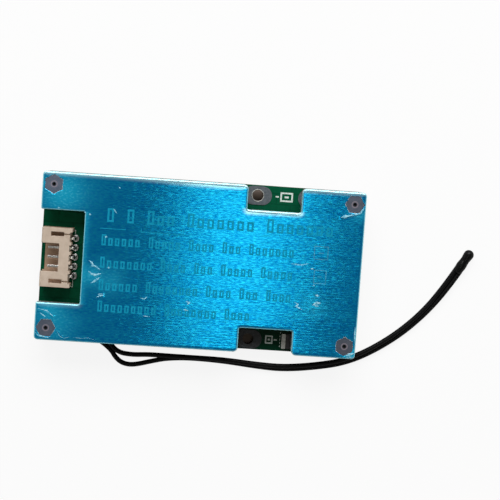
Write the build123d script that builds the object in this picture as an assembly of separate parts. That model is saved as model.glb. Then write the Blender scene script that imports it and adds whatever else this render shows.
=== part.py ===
from build123d import *
from math import radians, tan
import os

# Battery management board: a green circuit board under an aluminium heat plate.
# The frame has +X along the board's length, away from the balance connector, and +Z up.
# The origin is under the middle of the board, at the level of the screw heads it stands on.
# All sizes are in millimetres.

# Heat plate
plate_length = 67.5
plate_width = 35.2
plate_thickness = 2.0
plate_corner_radius = 0.8
notch_inner_radius = 0.4

# The plate's top edges roll over where the punch drew the metal down: a wide shallow slope,
# then a bevel
roll_width = 1.2
roll_drop = 0.1
roll_bevel = 0.3

# Notch in the left edge, over the balance connector
connector_notch_depth = 9.1
connector_notch_width = 19.4
connector_notch_lip_radius = 0.35

# Notches over the power pads: one in each long edge, at the same distance from the right end
power_notch_inset = 13.55
power_notch_width = 11.3
power_notch_depth = 5.15
power_notch_lip_radius = 1.0

# Protective film over the plate's top and its rolled edges
film_thickness = 0.08
film_cut_clearance = 0.12

# Circuit board, with the plate's outline
board_thickness = 1.6
board_corner_radius = 1.0

# Blind standoffs clinched into the plate
standoff_inset_x = 2.4
standoff_inset_y = 2.6
standoff_length = 3.5
standoff_diameter = 3.0
standoff_hex = 3.5
standoff_head_height = 1.2
standoff_dimple_diameter = 0.7
standoff_dimple_depth = 0.5
standoff_roof = 1.3
standoff_turns = (90, 0, 0, 90)

# Screws from the back of the board
screw_thread = 2.0
screw_thread_clearance = 0.04
screw_board_clearance = 0.2
screw_tip_gap = 0.8
screw_head_diameter = 4.0
screw_head_height = 1.6
screw_head_crown = 0.6
screw_recess_width = 0.5
screw_recess_span = 2.2
screw_recess_depth = 0.8

# Power pads: tinned copper on both faces, joined through a plated hole that the tin fills out
pad_length = 6.0
pad_width = 4.0
pad_thickness = 0.12
pad_edge_margin = 0.2
pad_offset = 2.3
pad_pitch = 11.6
power_hole_diameter = 2.3
plating_thickness = 0.2

# Current-sense resistors
shunt_length = 6.35
shunt_width = 3.2
shunt_height = 0.7
shunt_cap = 0.85
shunt_showing = 1.78
shunt_gap = 1.1
shunt_edge_margin = 0.6

# Power transistors: two rows, drain tabs together in the middle
mosfet_middle_x = 13.15
mosfet_pitch = 7.5
mosfet_columns = 4
mosfet_width = 6.5
mosfet_body_length = 6.1
mosfet_height = 2.3
mosfet_draft = 0.25
mosfet_tab_reach = 1.0
mosfet_tab_width = 5.3
mosfet_tab_under = 4.3
mosfet_tab_thickness = 0.5
mosfet_row_gap = 1.6
mosfet_lead_width = 0.75
mosfet_lead_spacing = 4.56
mosfet_lead_reach = 2.6
mosfet_lead_height = 1.0
mosfet_lead_foot = 1.3
mosfet_stub_reach = 0.8

# Thermal pad between the transistors and the plate
thermal_pad_margin = 1.0

# Balance connector: side entry, five pins
connector_y = -0.3
connector_setback = 0.4
connector_depth = 5.85
connector_width = 12.4
connector_height = 4.8
connector_side_wall = 0.8
connector_floor = 0.7
connector_roof = 0.8
connector_back_wall = 1.25
connector_window_width = 5.95
connector_window_beam = 2.15
connector_floor_setback = 0.45
connector_slot_width = 0.9
connector_slot_length = 2.7
connector_groove_width = 0.3
connector_groove_depth = 0.35
connector_ear_length = 0.45
connector_rib_width = 0.6
connector_rib_depth = 0.35
connector_rib_lift = 0.8
connector_lip_chamfer = 0.25

# Connector pins
pin_count = 5
pin_pitch = 2.0
pin_size = 0.5
pin_setback = 1.2
pin_bend_radius = 0.45
pin_tail_gap = 0.8
pin_tail_below = 0.9
pin_hole_diameter = 0.9
pin_pad_diameter = 1.55
pin_collar = 0.15
pin_fillet_height = 0.45
pin_joint_height = 0.75

# Protection chip: sixteen leads, long axis across the board
chip_inset = 22.15
chip_y = 0.2
chip_width = 3.9
chip_length = 9.9
chip_height = 1.55
chip_draft = 0.2
chip_mark_radius = 0.4
chip_mark_depth = 0.1
chip_mark_inset = 1.0
chip_lead_count = 8
chip_lead_pitch = 1.27
chip_lead_width = 0.42
chip_lead_thickness = 0.2
chip_lead_reach = 1.05
chip_lead_foot = 0.55
chip_lead_height = 0.8

# Small three-lead transistors
sot_length = 2.9
sot_width = 1.3
sot_height = 1.05
sot_chamfer = 0.13
sot_lead_width = 0.4
sot_lead_thickness = 0.12
sot_lead_spacing = 1.9
sot_lead_reach = 0.55
sot_lead_foot = 0.3
sot_lead_height = 0.5

# Moulded parts that stand on leads: clearance under the body, and where each lead bends,
# as shares of its slope
body_standoff = 0.1
lead_knee = 0.35
lead_heel = 0.8

# One balance transistor and one bleed resistor for each cell
cell_count = 4
cell_first_inset = 11.95
cell_pitch = 4.6
bleed_row_inset = 3.0
bleed_length = 3.2
bleed_width = 1.6
bleed_height = 0.6
bleed_cap = 0.5
balance_row_gap = 3.4

# Gate driver transistors
driver_count = 3
driver_first_inset = 17.15
driver_pitch = 4.6
driver_row_inset = 6.0

# Filter parts beside the connector, one pair for each pin
filter_first_gap = 2.35
filter_row_gap = 3.1
filter_pitch = 2.6
filter_length = 1.6
filter_width = 0.8
filter_resistor_height = 0.45
filter_capacitor_height = 0.8
filter_cap = 0.3

# Tinned tracks on the back
track_width = 2.4
track_thickness = 0.2
track_length = 29.0
track_pad_gap = 1.8
track_count = 2
track_gap = 1.0
track_chamfer = 0.12

# Sensor lead and bead
core_diameter = 1.05
bead_diameter = 2.2
bead_length = 5.0
bead_taper = 0.03
bead_taper_length = 1.5
joint_radius = 0.8
joint_length = 1.2

# Levels
board_bottom = screw_head_height
board_top = board_bottom + board_thickness
plate_bottom = board_top + standoff_length
plate_top = plate_bottom + plate_thickness

# Places worked out from the sizes above
standoff_x = plate_length / 2 - standoff_inset_x
standoff_y = plate_width / 2 - standoff_inset_y
standoff_places = [(-standoff_x, standoff_y), (standoff_x, standoff_y),
                   (-standoff_x, -standoff_y), (standoff_x, -standoff_y)]
board_left = -plate_length / 2
power_notch_left = plate_length / 2 - power_notch_inset - power_notch_width
power_notch_x = power_notch_left + power_notch_width / 2
power_edges = (power_notch_left, power_notch_left + power_notch_width)
pad_first_x = power_notch_left + pad_offset
pad_row_y = plate_width / 2 - pad_edge_margin - pad_width / 2
track_row_y = pad_row_y - pad_width / 2 - track_pad_gap - track_width / 2
shunt_right_x = power_notch_left + power_notch_width - shunt_showing + shunt_length / 2
shunt_left_x = pad_first_x - pad_length / 2 - shunt_gap - shunt_length / 2
shunt_row_y = -(plate_width / 2 - shunt_edge_margin - shunt_width / 2)
connector_front = board_left + connector_setback
connector_back = connector_front + connector_depth
connector_cavity_depth = connector_depth - connector_back_wall
connector_cavity_height = connector_height - connector_floor - connector_roof
connector_window_depth = connector_depth - connector_window_beam
pin_level = board_top + connector_floor + connector_cavity_height / 2
pin_tail_x = connector_back + pin_tail_gap
pin_places = [connector_y + (i - (pin_count - 1) / 2) * pin_pitch for i in range(pin_count)]
mosfet_places = [mosfet_middle_x + (i - (mosfet_columns - 1) / 2) * mosfet_pitch
                 for i in range(mosfet_columns)]
chip_x = board_left + chip_inset
cell_places = [board_left + cell_first_inset + i * cell_pitch for i in range(cell_count)]
bleed_row_y = plate_width / 2 - bleed_row_inset
balance_row_y = bleed_row_y - balance_row_gap
driver_places = [board_left + driver_first_inset + i * driver_pitch for i in range(driver_count)]
driver_row_y = driver_row_inset - plate_width / 2
filter_resistor_x = board_left + connector_notch_depth + filter_first_gap
filter_capacitor_x = filter_resistor_x + filter_row_gap
filter_places = [connector_y + (i - (pin_count - 1) / 2) * filter_pitch for i in range(pin_count)]

# The routes of the two cores, from their solder joints to the bead. The upper core
# leans on the lower one, which makes a small loop just outside the board.
upper_route = [
    (-24.0, -13.8, 1.0), (-21.0, -16.1, 1.0), (-18.4, -18.2, 1.0), (-16.3, -20.0, 1.45),
    (-13.4, -20.5, 1.35), (-9.8, -20.4, 1.4), (-6.0, -20.45, 1.45), (-1.0, -20.45, 1.6),
    (6.5, -20.5, 1.5), (14.0, -21.1, 1.45), (19.5, -21.25, 1.4), (26.0, -20.45, 1.4),
    (32.4, -19.1, 1.35), (38.2, -16.2, 1.3), (44.2, -11.9, 1.2), (49.4, -6.7, 1.15),
    (53.5, -0.8, 1.1), (55.75, 3.0, 1.1),
]
lower_route = [
    (-26.1, -14.3, 1.0), (-23.0, -16.5, 1.0), (-20.0, -18.4, 0.6), (-17.85, -20.1, 0.53),
    (-17.0, -21.45, 0.53), (-15.75, -22.55, 0.53), (-14.15, -23.0, 0.53), (-12.3, -22.85, 0.53),
    (-9.3, -22.0, 0.53), (-6.0, -21.15, 0.53), (-1.0, -20.75, 0.53), (6.5, -21.0, 0.53),
    (14.0, -21.75, 0.53), (19.5, -22.0, 0.53), (26.2, -21.2, 0.53), (32.7, -19.85, 0.53),
    (38.7, -16.95, 0.53), (44.9, -12.55, 0.53), (50.2, -7.25, 0.65), (54.45, -1.35, 1.1),
    (56.7, 2.45, 1.1),
]


def block(length, width, height, x, y, z):
    """A box centred on x and y, with its lowest face at z."""
    return Pos(x, y, z) * Box(length, width, height, align=(Align.CENTER, Align.CENTER, Align.MIN))


def disc(radius, height, x, y, z):
    """An upright cylinder with its lowest face at z."""
    return Pos(x, y, z) * Cylinder(radius, height, align=(Align.CENTER, Align.CENTER, Align.MIN))


def group(solids):
    """Separate solids kept together in one node."""
    return Compound(children=[part for solid in solids for part in solid.solids()])


def save(shape, name):
    """Writes one node and prints its solids and volume."""
    export_step(shape, f"parts/{name}.step")
    print(name, len(shape.solids()), "solids", round(shape.volume, 2), "mm3")


def round_corners(outline, points, radius):
    """Rounds the corners of an outline that lie at the given points."""
    for point in points:
        corner = outline.vertices().sort_by_distance(point)[0]
        outline = fillet(corner, radius)
    return outline


def notched_outline():
    """The plate seen from above before its corners are rounded, with a notch in three edges."""
    half_length = plate_length / 2
    half_width = plate_width / 2
    outline = Rectangle(plate_length, plate_width)
    outline -= Pos(-half_length, 0) * Rectangle(2 * connector_notch_depth, connector_notch_width)
    power_notch = Rectangle(power_notch_width, 2 * power_notch_depth)
    for side in (1, -1):
        outline -= Pos(power_notch_x, side * half_width) * power_notch
    notch_end = connector_notch_depth - half_length
    inner = [(notch_end, side * connector_notch_width / 2) for side in (1, -1)]
    inner += [(x, side * (half_width - power_notch_depth)) for x in power_edges for side in (1, -1)]
    return round_corners(outline, inner, notch_inner_radius)


def plate_outline():
    """The notched outline with its outward corners rounded."""
    half_length = plate_length / 2
    half_width = plate_width / 2
    corners = [(x, y) for x in (-half_length, half_length) for y in (-half_width, half_width)]
    outline = round_corners(notched_outline(), corners, plate_corner_radius)
    notch_lips = [(-half_length, side * connector_notch_width / 2) for side in (1, -1)]
    outline = round_corners(outline, notch_lips, connector_notch_lip_radius)
    power_lips = [(x, side * half_width) for x in power_edges for side in (1, -1)]
    return round_corners(outline, power_lips, power_notch_lip_radius)


def rolled_slab():
    """The whole plate without its pockets, its top edges rolled over in two steps."""
    slab = Pos(0, 0, plate_bottom) * extrude(notched_outline(), plate_thickness)
    top = slab.faces().sort_by(Axis.Z)[-1]
    slab = chamfer(top.edges(), roll_width, roll_drop, reference=top)
    rim = slab.edges().filter_by_position(Axis.Z, plate_top - roll_drop, plate_top - roll_drop)
    slab = chamfer(rim, roll_bevel)
    return slab & Pos(0, 0, plate_bottom) * extrude(plate_outline(), plate_thickness)


def hexagon(across_flats, turn):
    """A hexagon by its width across flats, turned by an angle in degrees."""
    return RegularPolygon(across_flats / 2, 6, major_radius=False, rotation=turn)


def heat_plate(slab):
    """The plate with a hexagonal pocket and a round hole for each standoff."""
    plate = slab
    for (x, y), turn in zip(standoff_places, standoff_turns):
        pocket = extrude(hexagon(standoff_hex, turn), standoff_head_height)
        plate -= Pos(x, y, plate_top - standoff_head_height) * pocket
        plate -= disc(standoff_diameter / 2, plate_thickness, x, y, plate_bottom)
    return plate


def protective_film(slab):
    """A thin skin over the plate's top and rolled edges, cut out over the standoff heads."""
    skin = Pos(0, 0, film_thickness) * slab - slab
    for (x, y), turn in zip(standoff_places, standoff_turns):
        window = extrude(hexagon(standoff_hex + 2 * film_cut_clearance, turn), plate_thickness)
        skin -= Pos(x, y, plate_bottom) * window
        skin -= Pos(x, y, plate_top) * window
    return skin


def standoff(x, y, turn):
    """A hexagonal head flush with the plate, a round body and a blind bore from below."""
    head = extrude(hexagon(standoff_hex, turn), standoff_head_height)
    part = Pos(x, y, plate_top - standoff_head_height) * head
    body_height = plate_top - standoff_head_height - board_top
    part += disc(standoff_diameter / 2, body_height, x, y, board_top)
    part -= disc(screw_thread / 2, plate_top - standoff_roof - board_top, x, y, board_top)
    dimple = Cone(0, standoff_dimple_diameter / 2, standoff_dimple_depth,
                  align=(Align.CENTER, Align.CENTER, Align.MIN))
    return part - Pos(x, y, plate_top - standoff_dimple_depth) * dimple


def screw(x, y):
    """A pan-head screw with a cross recess, its head on the back of the board."""
    blank = disc(screw_head_diameter / 2, screw_head_height, x, y, board_bottom - screw_head_height)
    head = chamfer(blank.edges().sort_by(Axis.Z)[0], screw_head_crown)
    shank_radius = (screw_thread - screw_thread_clearance) / 2
    shank_length = plate_top - standoff_roof - screw_tip_gap - board_bottom
    part = head + disc(shank_radius, shank_length, x, y, board_bottom)
    recess = (screw_recess_span, screw_recess_width)
    for length, width in (recess, recess[::-1]):
        part -= block(length, width, screw_recess_depth, x, y, board_bottom - screw_head_height)
    return part


def power_places():
    """Centres of the power pads: two on the upper edge, one on the lower."""
    second_x = pad_first_x + pad_pitch
    return [(pad_first_x, pad_row_y), (second_x, pad_row_y), (pad_first_x, -pad_row_y)]


def circuit_board():
    """The board with its screw holes, power holes and pin holes."""
    outline = RectangleRounded(plate_length, plate_width, board_corner_radius)
    holes = [(place, screw_thread + screw_board_clearance) for place in standoff_places]
    holes += [(place, power_hole_diameter + 2 * plating_thickness) for place in power_places()]
    holes += [((pin_tail_x, y), pin_hole_diameter) for y in pin_places]
    for (x, y), diameter in holes:
        outline -= Pos(x, y) * Circle(diameter / 2)
    return Pos(0, 0, board_bottom) * extrude(outline, board_thickness)


def power_pad(x, y):
    """Two oblong pads, one on each face, joined by the plating of the hole."""
    face = SlotOverall(pad_length, pad_width) - Circle(power_hole_diameter / 2)
    pad = Pos(x, y, board_top) * extrude(face, pad_thickness)
    pad += Pos(x, y, board_bottom - pad_thickness) * extrude(face, pad_thickness)
    barrel = Circle(power_hole_diameter / 2 + plating_thickness) - Circle(power_hole_diameter / 2)
    return pad + Pos(x, y, board_bottom) * extrude(barrel, board_thickness)


def chip_body(length, width, height, cap, x, y):
    """The middle of a flat two-ended part, between its metal ends."""
    body = block(length - 2 * cap, width, height, 0, 0, 0)
    return Pos(x, y, board_top) * body


def chip_ends(length, width, height, cap, x, y):
    """The two metal ends of a flat two-ended part."""
    reach = (length - cap) / 2
    ends = [block(cap, width, height, side * reach, 0, 0) for side in (-1, 1)]
    return [Pos(x, y, board_top) * end for end in ends]


def moulded_body(length, width, height, draft):
    """A moulded body that narrows from its middle to its top."""
    waist = height / 2
    lower = extrude(Rectangle(length, width), waist)
    upper = loft([Pos(0, 0, waist) * Rectangle(length, width),
                  Pos(0, 0, height) * Rectangle(length - 2 * draft, width - 2 * draft)])
    return lower + upper


def bent_lead(width, thickness, reach, foot, height):
    """A lead that leaves a body along +X at a height, turns down and stands on a foot."""
    knee = (reach - foot) * lead_knee
    heel = (reach - foot) * lead_heel
    profile = Polyline((0, height), (knee, height), (heel, 0), (reach, 0), (reach, thickness),
                       (heel + thickness, thickness), (knee + thickness, height + thickness),
                       (0, height + thickness), (0, height))
    return extrude(Plane.XZ * make_face(profile), width / 2, both=True)


def mosfet(x, side):
    """Body and lead frame of one power transistor, its drain tab towards the middle line."""
    body_near = mosfet_row_gap / 2 + mosfet_tab_reach
    body_middle = body_near + mosfet_body_length / 2
    body_far = body_near + mosfet_body_length
    body = moulded_body(mosfet_width, mosfet_body_length, mosfet_height, mosfet_draft)
    body = Pos(0, body_middle, 0) * body
    tab_length = mosfet_tab_reach + mosfet_tab_under
    tab_y = (mosfet_row_gap + tab_length) / 2
    tab = block(mosfet_tab_width, tab_length, mosfet_tab_thickness, 0, tab_y, 0)
    frame = [tab]
    for lead_side in (-1, 1):
        lead = bent_lead(mosfet_lead_width, mosfet_tab_thickness, mosfet_lead_reach,
                         mosfet_lead_foot, mosfet_lead_height)
        frame.append(Pos(lead_side * mosfet_lead_spacing / 2, body_far, 0) * Rot(0, 0, 90) * lead)
    stub = block(mosfet_lead_width, mosfet_stub_reach, mosfet_tab_thickness, 0,
                 body_far + mosfet_stub_reach / 2, mosfet_lead_height)
    frame.append(stub)
    place = Pos(x, 0, board_top) * Rot(0, 0, 0 if side > 0 else 180)
    return place * (body - tab), [place * piece for piece in frame]


def thermal_pad():
    """A soft pad that fills the space between the transistor tops and the plate."""
    length = mosfet_places[-1] - mosfet_places[0] + mosfet_width + 2 * thermal_pad_margin
    reach = mosfet_row_gap / 2 + mosfet_tab_reach + mosfet_body_length
    bottom = board_top + mosfet_height
    return block(length, 2 * reach, plate_bottom - bottom, mosfet_middle_x, 0, bottom)


def small_transistor(x, y):
    """Body and three leads of a small transistor, two leads on the lower side."""
    body = block(sot_length, sot_width, sot_height - body_standoff, 0, 0, body_standoff)
    body = chamfer(body.faces().sort_by(Axis.Z)[-1].edges(), sot_chamfer)
    lead = bent_lead(sot_lead_width, sot_lead_thickness, sot_lead_reach, sot_lead_foot,
                     sot_lead_height)
    leads = [Pos(0, sot_width / 2, 0) * Rot(0, 0, 90) * lead]
    for side in (-1, 1):
        leads.append(Pos(side * sot_lead_spacing / 2, -sot_width / 2, 0) * Rot(0, 0, -90) * lead)
    place = Pos(x, y, board_top)
    return place * body, [place * piece for piece in leads]


def control_chip():
    """The protection chip's body, with a round mark at its first lead, and its leads."""
    body = moulded_body(chip_width, chip_length, chip_height - body_standoff, chip_draft)
    body = Pos(0, 0, body_standoff) * body
    mark_x = chip_mark_inset - chip_width / 2
    mark_y = chip_length / 2 - chip_mark_inset
    body -= disc(chip_mark_radius, chip_mark_depth, mark_x, mark_y, chip_height - chip_mark_depth)
    leads = []
    for i in range(chip_lead_count):
        y = (i - (chip_lead_count - 1) / 2) * chip_lead_pitch
        for turn in (0, 180):
            lead = bent_lead(chip_lead_width, chip_lead_thickness, chip_lead_reach,
                             chip_lead_foot, chip_lead_height)
            leads.append(Pos(0, y, 0) * Rot(0, 0, turn) * Pos(chip_width / 2, 0, 0) * lead)
    place = Pos(chip_x, chip_y, board_top)
    return place * body, [place * piece for piece in leads]


def connector_housing():
    """The moulded shell: open at the front, a window and two key slots in its roof."""
    front = connector_front
    middle_x = front + connector_depth / 2
    shell = block(connector_depth, connector_width, connector_height, middle_x, connector_y,
                  board_top)
    ear_x = connector_back + connector_ear_length / 2
    for side in (-1, 1):
        ear_y = connector_y + side * (connector_width - connector_side_wall) / 2
        shell += block(connector_ear_length, connector_side_wall, connector_height, ear_x, ear_y,
                       board_top)
    for i in range(pin_count - 1):
        rib_y = (pin_places[i] + pin_places[i + 1]) / 2
        rib_x = connector_back + connector_rib_depth / 2
        shell += block(connector_rib_depth, connector_rib_width,
                       connector_height - connector_rib_lift, rib_x, rib_y,
                       board_top + connector_rib_lift)
    cavity_width = connector_width - 2 * connector_side_wall
    shell -= block(connector_cavity_depth, cavity_width, connector_cavity_height,
                   front + connector_cavity_depth / 2, connector_y, board_top + connector_floor)
    shell -= block(connector_window_depth, connector_window_width, connector_height,
                   front + connector_window_depth / 2, connector_y, board_top + connector_floor)
    shell -= block(connector_floor_setback, connector_window_width, connector_floor,
                   front + connector_floor_setback / 2, connector_y, board_top)
    roof_z = board_top + connector_height - connector_roof
    slot_x = front + connector_cavity_depth - connector_slot_length / 2
    for side in (-1, 1):
        slot_y = connector_y + side * (cavity_width - connector_slot_width) / 2
        shell -= block(connector_slot_length, connector_slot_width, connector_roof, slot_x, slot_y,
                       roof_z)
        shell -= block(connector_back_wall, connector_groove_width, connector_groove_depth,
                       connector_back - connector_back_wall / 2, slot_y,
                       board_top + connector_height - connector_groove_depth)
    for y in pin_places:
        shell -= block(connector_depth, pin_size, pin_size, middle_x + connector_cavity_depth, y,
                       pin_level - pin_size / 2)
    front_edges = shell.edges().filter_by(Axis.Y).group_by(Axis.X)[0].group_by(Axis.Z)[-1]
    return chamfer(front_edges, connector_lip_chamfer)


def connector_pin(y):
    """A square pin: straight through the back wall, then bent down through the board."""
    tip = (connector_front + pin_setback, y, pin_level)
    bend = (pin_tail_x, y, pin_level)
    end = (pin_tail_x, y, board_bottom - pin_tail_below)
    path = FilletPolyline(tip, bend, end, radius=pin_bend_radius)
    section = Plane(origin=path @ 0, z_dir=path % 0) * Rectangle(pin_size, pin_size)
    return sweep(section, path=path)


def pin_joint(y):
    """Solder round one pin: a fillet on top, the filled hole and a cone on the back."""
    pad_radius = pin_pad_diameter / 2
    hole_radius = pin_hole_diameter / 2
    tip_radius = pin_size / 2 + pin_collar
    top = board_top + pin_fillet_height
    bottom = board_bottom - pin_joint_height
    profile = Polyline((0, bottom), (tip_radius, bottom), (pad_radius, board_bottom),
                       (hole_radius, board_bottom), (hole_radius, board_top), (pad_radius, board_top),
                       (tip_radius, top), (0, top), (0, bottom))
    joint = revolve(Plane.XZ * make_face(profile), Axis.Z)
    joint -= block(pin_size, pin_size, top - bottom, 0, 0, bottom)
    return Pos(pin_tail_x, y, 0) * joint


def back_track(x, y, length):
    """A solder-tinned track on the back of the board, with a rounded face."""
    strip = extrude(SlotOverall(length, track_width), track_thickness)
    strip = Pos(x, y, board_bottom - track_thickness) * strip
    return chamfer(strip.faces().sort_by(Axis.Z)[0].edges(), track_chamfer)


def back_tracks():
    """Two rows of tinned tracks, each split in equal lengths, under the transistor leads."""
    length = (track_length - (track_count - 1) * track_gap) / track_count
    tracks = []
    for side in (-1, 1):
        for i in range(track_count):
            x = mosfet_middle_x + (i - (track_count - 1) / 2) * (length + track_gap)
            tracks.append(back_track(x, side * track_row_y, length))
    return tracks


def corner_radii(points):
    """The arc radius at each inner point of a route: 0.45 of the shorter run by the turn."""
    vectors = [Vector(*point) for point in points]
    radii = []
    for before, here, after in zip(vectors, vectors[1:], vectors[2:]):
        run_in = here - before
        run_out = after - here
        half_turn = radians(run_in.get_angle(run_out)) / 2
        radii.append(0.45 * min(run_in.length, run_out.length) / tan(half_turn))
    return radii


def cord(name, points, diameter):
    """A round cord along straight runs joined by arcs."""
    radii = corner_radii(points)
    path = FilletPolyline(*points, radius=radii)
    section = Plane(origin=path @ 0, z_dir=path % 0) * Circle(diameter / 2)
    tube = sweep(section, path=path)
    expected = section.area * path.length
    print(name, "length", round(path.length, 1), "radii", [round(radius, 1) for radius in radii],
          "volume to section times length", round(tube.volume / expected, 4))
    return tube


def sensor_bead():
    """A moulded bead round the sensor at the far end of the lead, with a rounded tip."""
    upper_end = Vector(*upper_route[-1])
    lower_end = Vector(*lower_route[-1])
    start = (upper_end + lower_end) * 0.5
    along = start - (Vector(*upper_route[-2]) + Vector(*lower_route[-2])) * 0.5
    along = Vector(along.X, along.Y, 0)
    radius = bead_diameter / 2
    outline = Line((0, 0), (radius - bead_taper, 0))
    outline += Line((radius - bead_taper, 0), (radius, bead_taper_length))
    outline += Line((radius, bead_taper_length), (radius, bead_length - radius))
    outline += RadiusArc((radius, bead_length - radius), (0, bead_length), -radius)
    outline += Line((0, bead_length), (0, 0))
    bead = revolve(Plane.XZ * make_face(outline), Axis.Z)
    return Plane(origin=start, z_dir=along) * bead


def sensor_joint(points):
    """A solder joint on the back of the board at the start of one core."""
    start = Vector(*points[0])
    run = Vector(*points[1]) - start
    away = Vector(-run.X, -run.Y, 0).normalized()
    near = Plane(origin=(start.X, start.Y, board_bottom), z_dir=away)
    far = start + away * joint_length
    mound = extrude(near * Circle(joint_radius), joint_length)
    mound += Pos(far.X, far.Y, board_bottom) * Sphere(joint_radius)
    return split(mound, Plane.XY.offset(board_bottom), keep=Keep.BOTTOM)


def main():
    """Builds every node and writes it to its own file."""
    os.makedirs("parts", exist_ok=True)
    slab = rolled_slab()
    save(heat_plate(slab), "heat_plate")
    save(protective_film(slab), "protective_film")
    standoffs = [standoff(x, y, turn) for (x, y), turn in zip(standoff_places, standoff_turns)]
    save(group(standoffs), "standoffs")
    save(group([screw(x, y) for x, y in standoff_places]), "board_screws")
    save(circuit_board(), "circuit_board")
    save(group([power_pad(x, y) for x, y in power_places()]), "power_pads")

    shunts = [(shunt_left_x, shunt_row_y), (shunt_right_x, shunt_row_y)]
    shunt_size = (shunt_length, shunt_width, shunt_height, shunt_cap)
    save(group([chip_body(*shunt_size, x, y) for x, y in shunts]), "shunt_elements")
    save(group([end for x, y in shunts for end in chip_ends(*shunt_size, x, y)]), "shunt_ends")

    bodies, frames = [], []
    for side in (1, -1):
        for x in mosfet_places:
            body, frame = mosfet(x, side)
            bodies.append(body)
            frames += frame
    save(group(bodies), "mosfet_bodies")
    save(group(frames), "mosfet_leads")
    save(thermal_pad(), "thermal_pad")

    save(connector_housing(), "connector_housing")
    save(group([connector_pin(y) for y in pin_places]), "connector_pins")
    save(group([pin_joint(y) for y in pin_places]), "connector_solder")

    body, leads = control_chip()
    save(body, "protection_chip")
    save(group(leads), "protection_chip_leads")

    for name, places, row_y in (("balance_transistor", cell_places, balance_row_y),
                                ("driver_transistor", driver_places, driver_row_y)):
        parts = [small_transistor(x, row_y) for x in places]
        save(group([body for body, leads in parts]), name + "s")
        save(group([lead for body, leads in parts for lead in leads]), name + "_leads")

    bleed_size = (bleed_length, bleed_width, bleed_height, bleed_cap)
    resistor_size = (filter_length, filter_width, filter_resistor_height, filter_cap)
    capacitor_size = (filter_length, filter_width, filter_capacitor_height, filter_cap)
    bleed_places = [(x, bleed_row_y) for x in cell_places]
    resistor_places = [(filter_resistor_x, y) for y in filter_places]
    capacitor_places = [(filter_capacitor_x, y) for y in filter_places]
    for name, size, places in (("balance_resistor", bleed_size, bleed_places),
                               ("filter_resistor", resistor_size, resistor_places),
                               ("filter_capacitor", capacitor_size, capacitor_places)):
        save(group([chip_body(*size, x, y) for x, y in places]), name + "s")
        save(group([end for x, y in places for end in chip_ends(*size, x, y)]), name + "_ends")

    save(group(back_tracks()), "back_tracks")
    save(cord("sensor_core_upper", upper_route, core_diameter), "sensor_core_upper")
    save(cord("sensor_core_lower", lower_route, core_diameter), "sensor_core_lower")
    save(sensor_bead(), "sensor_bead")
    save(group([sensor_joint(upper_route), sensor_joint(lower_route)]), "sensor_solder")


main()
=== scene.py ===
# %% [markdown]
# # The looks of a battery management board
# The CAD model holds every size and place. This script loads it as a fixed frame and gives
# it its finishes: a blue protective film over an aluminium heat plate, a green circuit board
# with its parts, and a black twin lead that ends in a bead.

# %% Load the frame
import math
import bmesh
import bpy
import numpy as np
from mathutils import Matrix


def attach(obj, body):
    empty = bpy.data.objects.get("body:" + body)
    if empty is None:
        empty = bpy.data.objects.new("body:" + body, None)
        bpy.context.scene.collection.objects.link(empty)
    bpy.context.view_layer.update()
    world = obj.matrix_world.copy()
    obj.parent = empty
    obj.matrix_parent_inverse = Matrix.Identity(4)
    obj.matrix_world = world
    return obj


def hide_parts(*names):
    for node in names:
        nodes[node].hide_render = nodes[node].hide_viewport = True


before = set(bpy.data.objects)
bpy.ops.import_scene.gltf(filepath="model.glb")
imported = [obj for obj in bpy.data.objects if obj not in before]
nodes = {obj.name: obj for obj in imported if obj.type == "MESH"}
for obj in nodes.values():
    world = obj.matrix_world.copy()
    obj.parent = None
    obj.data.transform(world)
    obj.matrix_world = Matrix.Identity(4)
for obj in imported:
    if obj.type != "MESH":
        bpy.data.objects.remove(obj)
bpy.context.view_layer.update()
mm = 0.001
print("CAD nodes:", len(nodes))

# %% [markdown]
# ## The camera
# The photograph was taken from almost straight above, with the board turned a few degrees.
# A camera was fitted to the plate's corners and the four standoffs, and its place and its
# three turns are written here. The focal length is in pixels of the 500 pixel wide photograph.

# %% Camera
photo_width = 500
focal_pixels = 1245
camera_place = (-3.477, 21.848, 267.988)
camera_turns = (-4.12362, -2.70351, 4.03570)

camera_data = bpy.data.cameras.new("camera")
camera_data.sensor_width = 36
camera_data.lens = focal_pixels / photo_width * camera_data.sensor_width
camera_data.clip_start = 0.01
camera_data.clip_end = 20
camera = bpy.data.objects.new("camera", camera_data)
camera.location = [value * mm for value in camera_place]
camera.rotation_euler = [math.radians(turn) for turn in camera_turns]
bpy.context.scene.collection.objects.link(camera)
bpy.context.scene.camera = camera
bpy.context.scene.view_settings.view_transform = "Standard"
print("Camera height in mm:", camera_place[2])

# %% [markdown]
# ## Helpers for shader nodes
# Every material is a small tree of shader nodes. They could be made and linked one by one,
# but that takes many lines. So a few helpers keep the trees readable: `add` makes a node and
# sets its values, `calc` makes a maths node, `blend` mixes two colours, `ramp` maps one range
# to another, and `material` starts a material.

# %% Adding nodes
def add(tree, kind, **values):
    """Adds a shader node. A value sets the socket of that name, or else the node's property."""
    made = tree.nodes.new("ShaderNode" + kind)
    for name, value in values.items():
        socket = made.inputs.get(name.replace("_", " "))
        if socket is None:
            setattr(made, name, value)
        else:
            plug(tree, socket, value)
    return made


def plug(tree, socket, value):
    """Links a socket to another one, or sets its value."""
    if isinstance(value, bpy.types.NodeSocket):
        tree.links.new(value, socket)
    else:
        socket.default_value = value


# %% Maths, colours and ranges
def calc(tree, operation, *values):
    """A maths node on one, two or three values, each a number or a socket."""
    made = tree.nodes.new("ShaderNodeMath")
    made.operation = operation
    for socket, value in zip(made.inputs, values):
        plug(tree, socket, value)
    return made.outputs[0]


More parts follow.
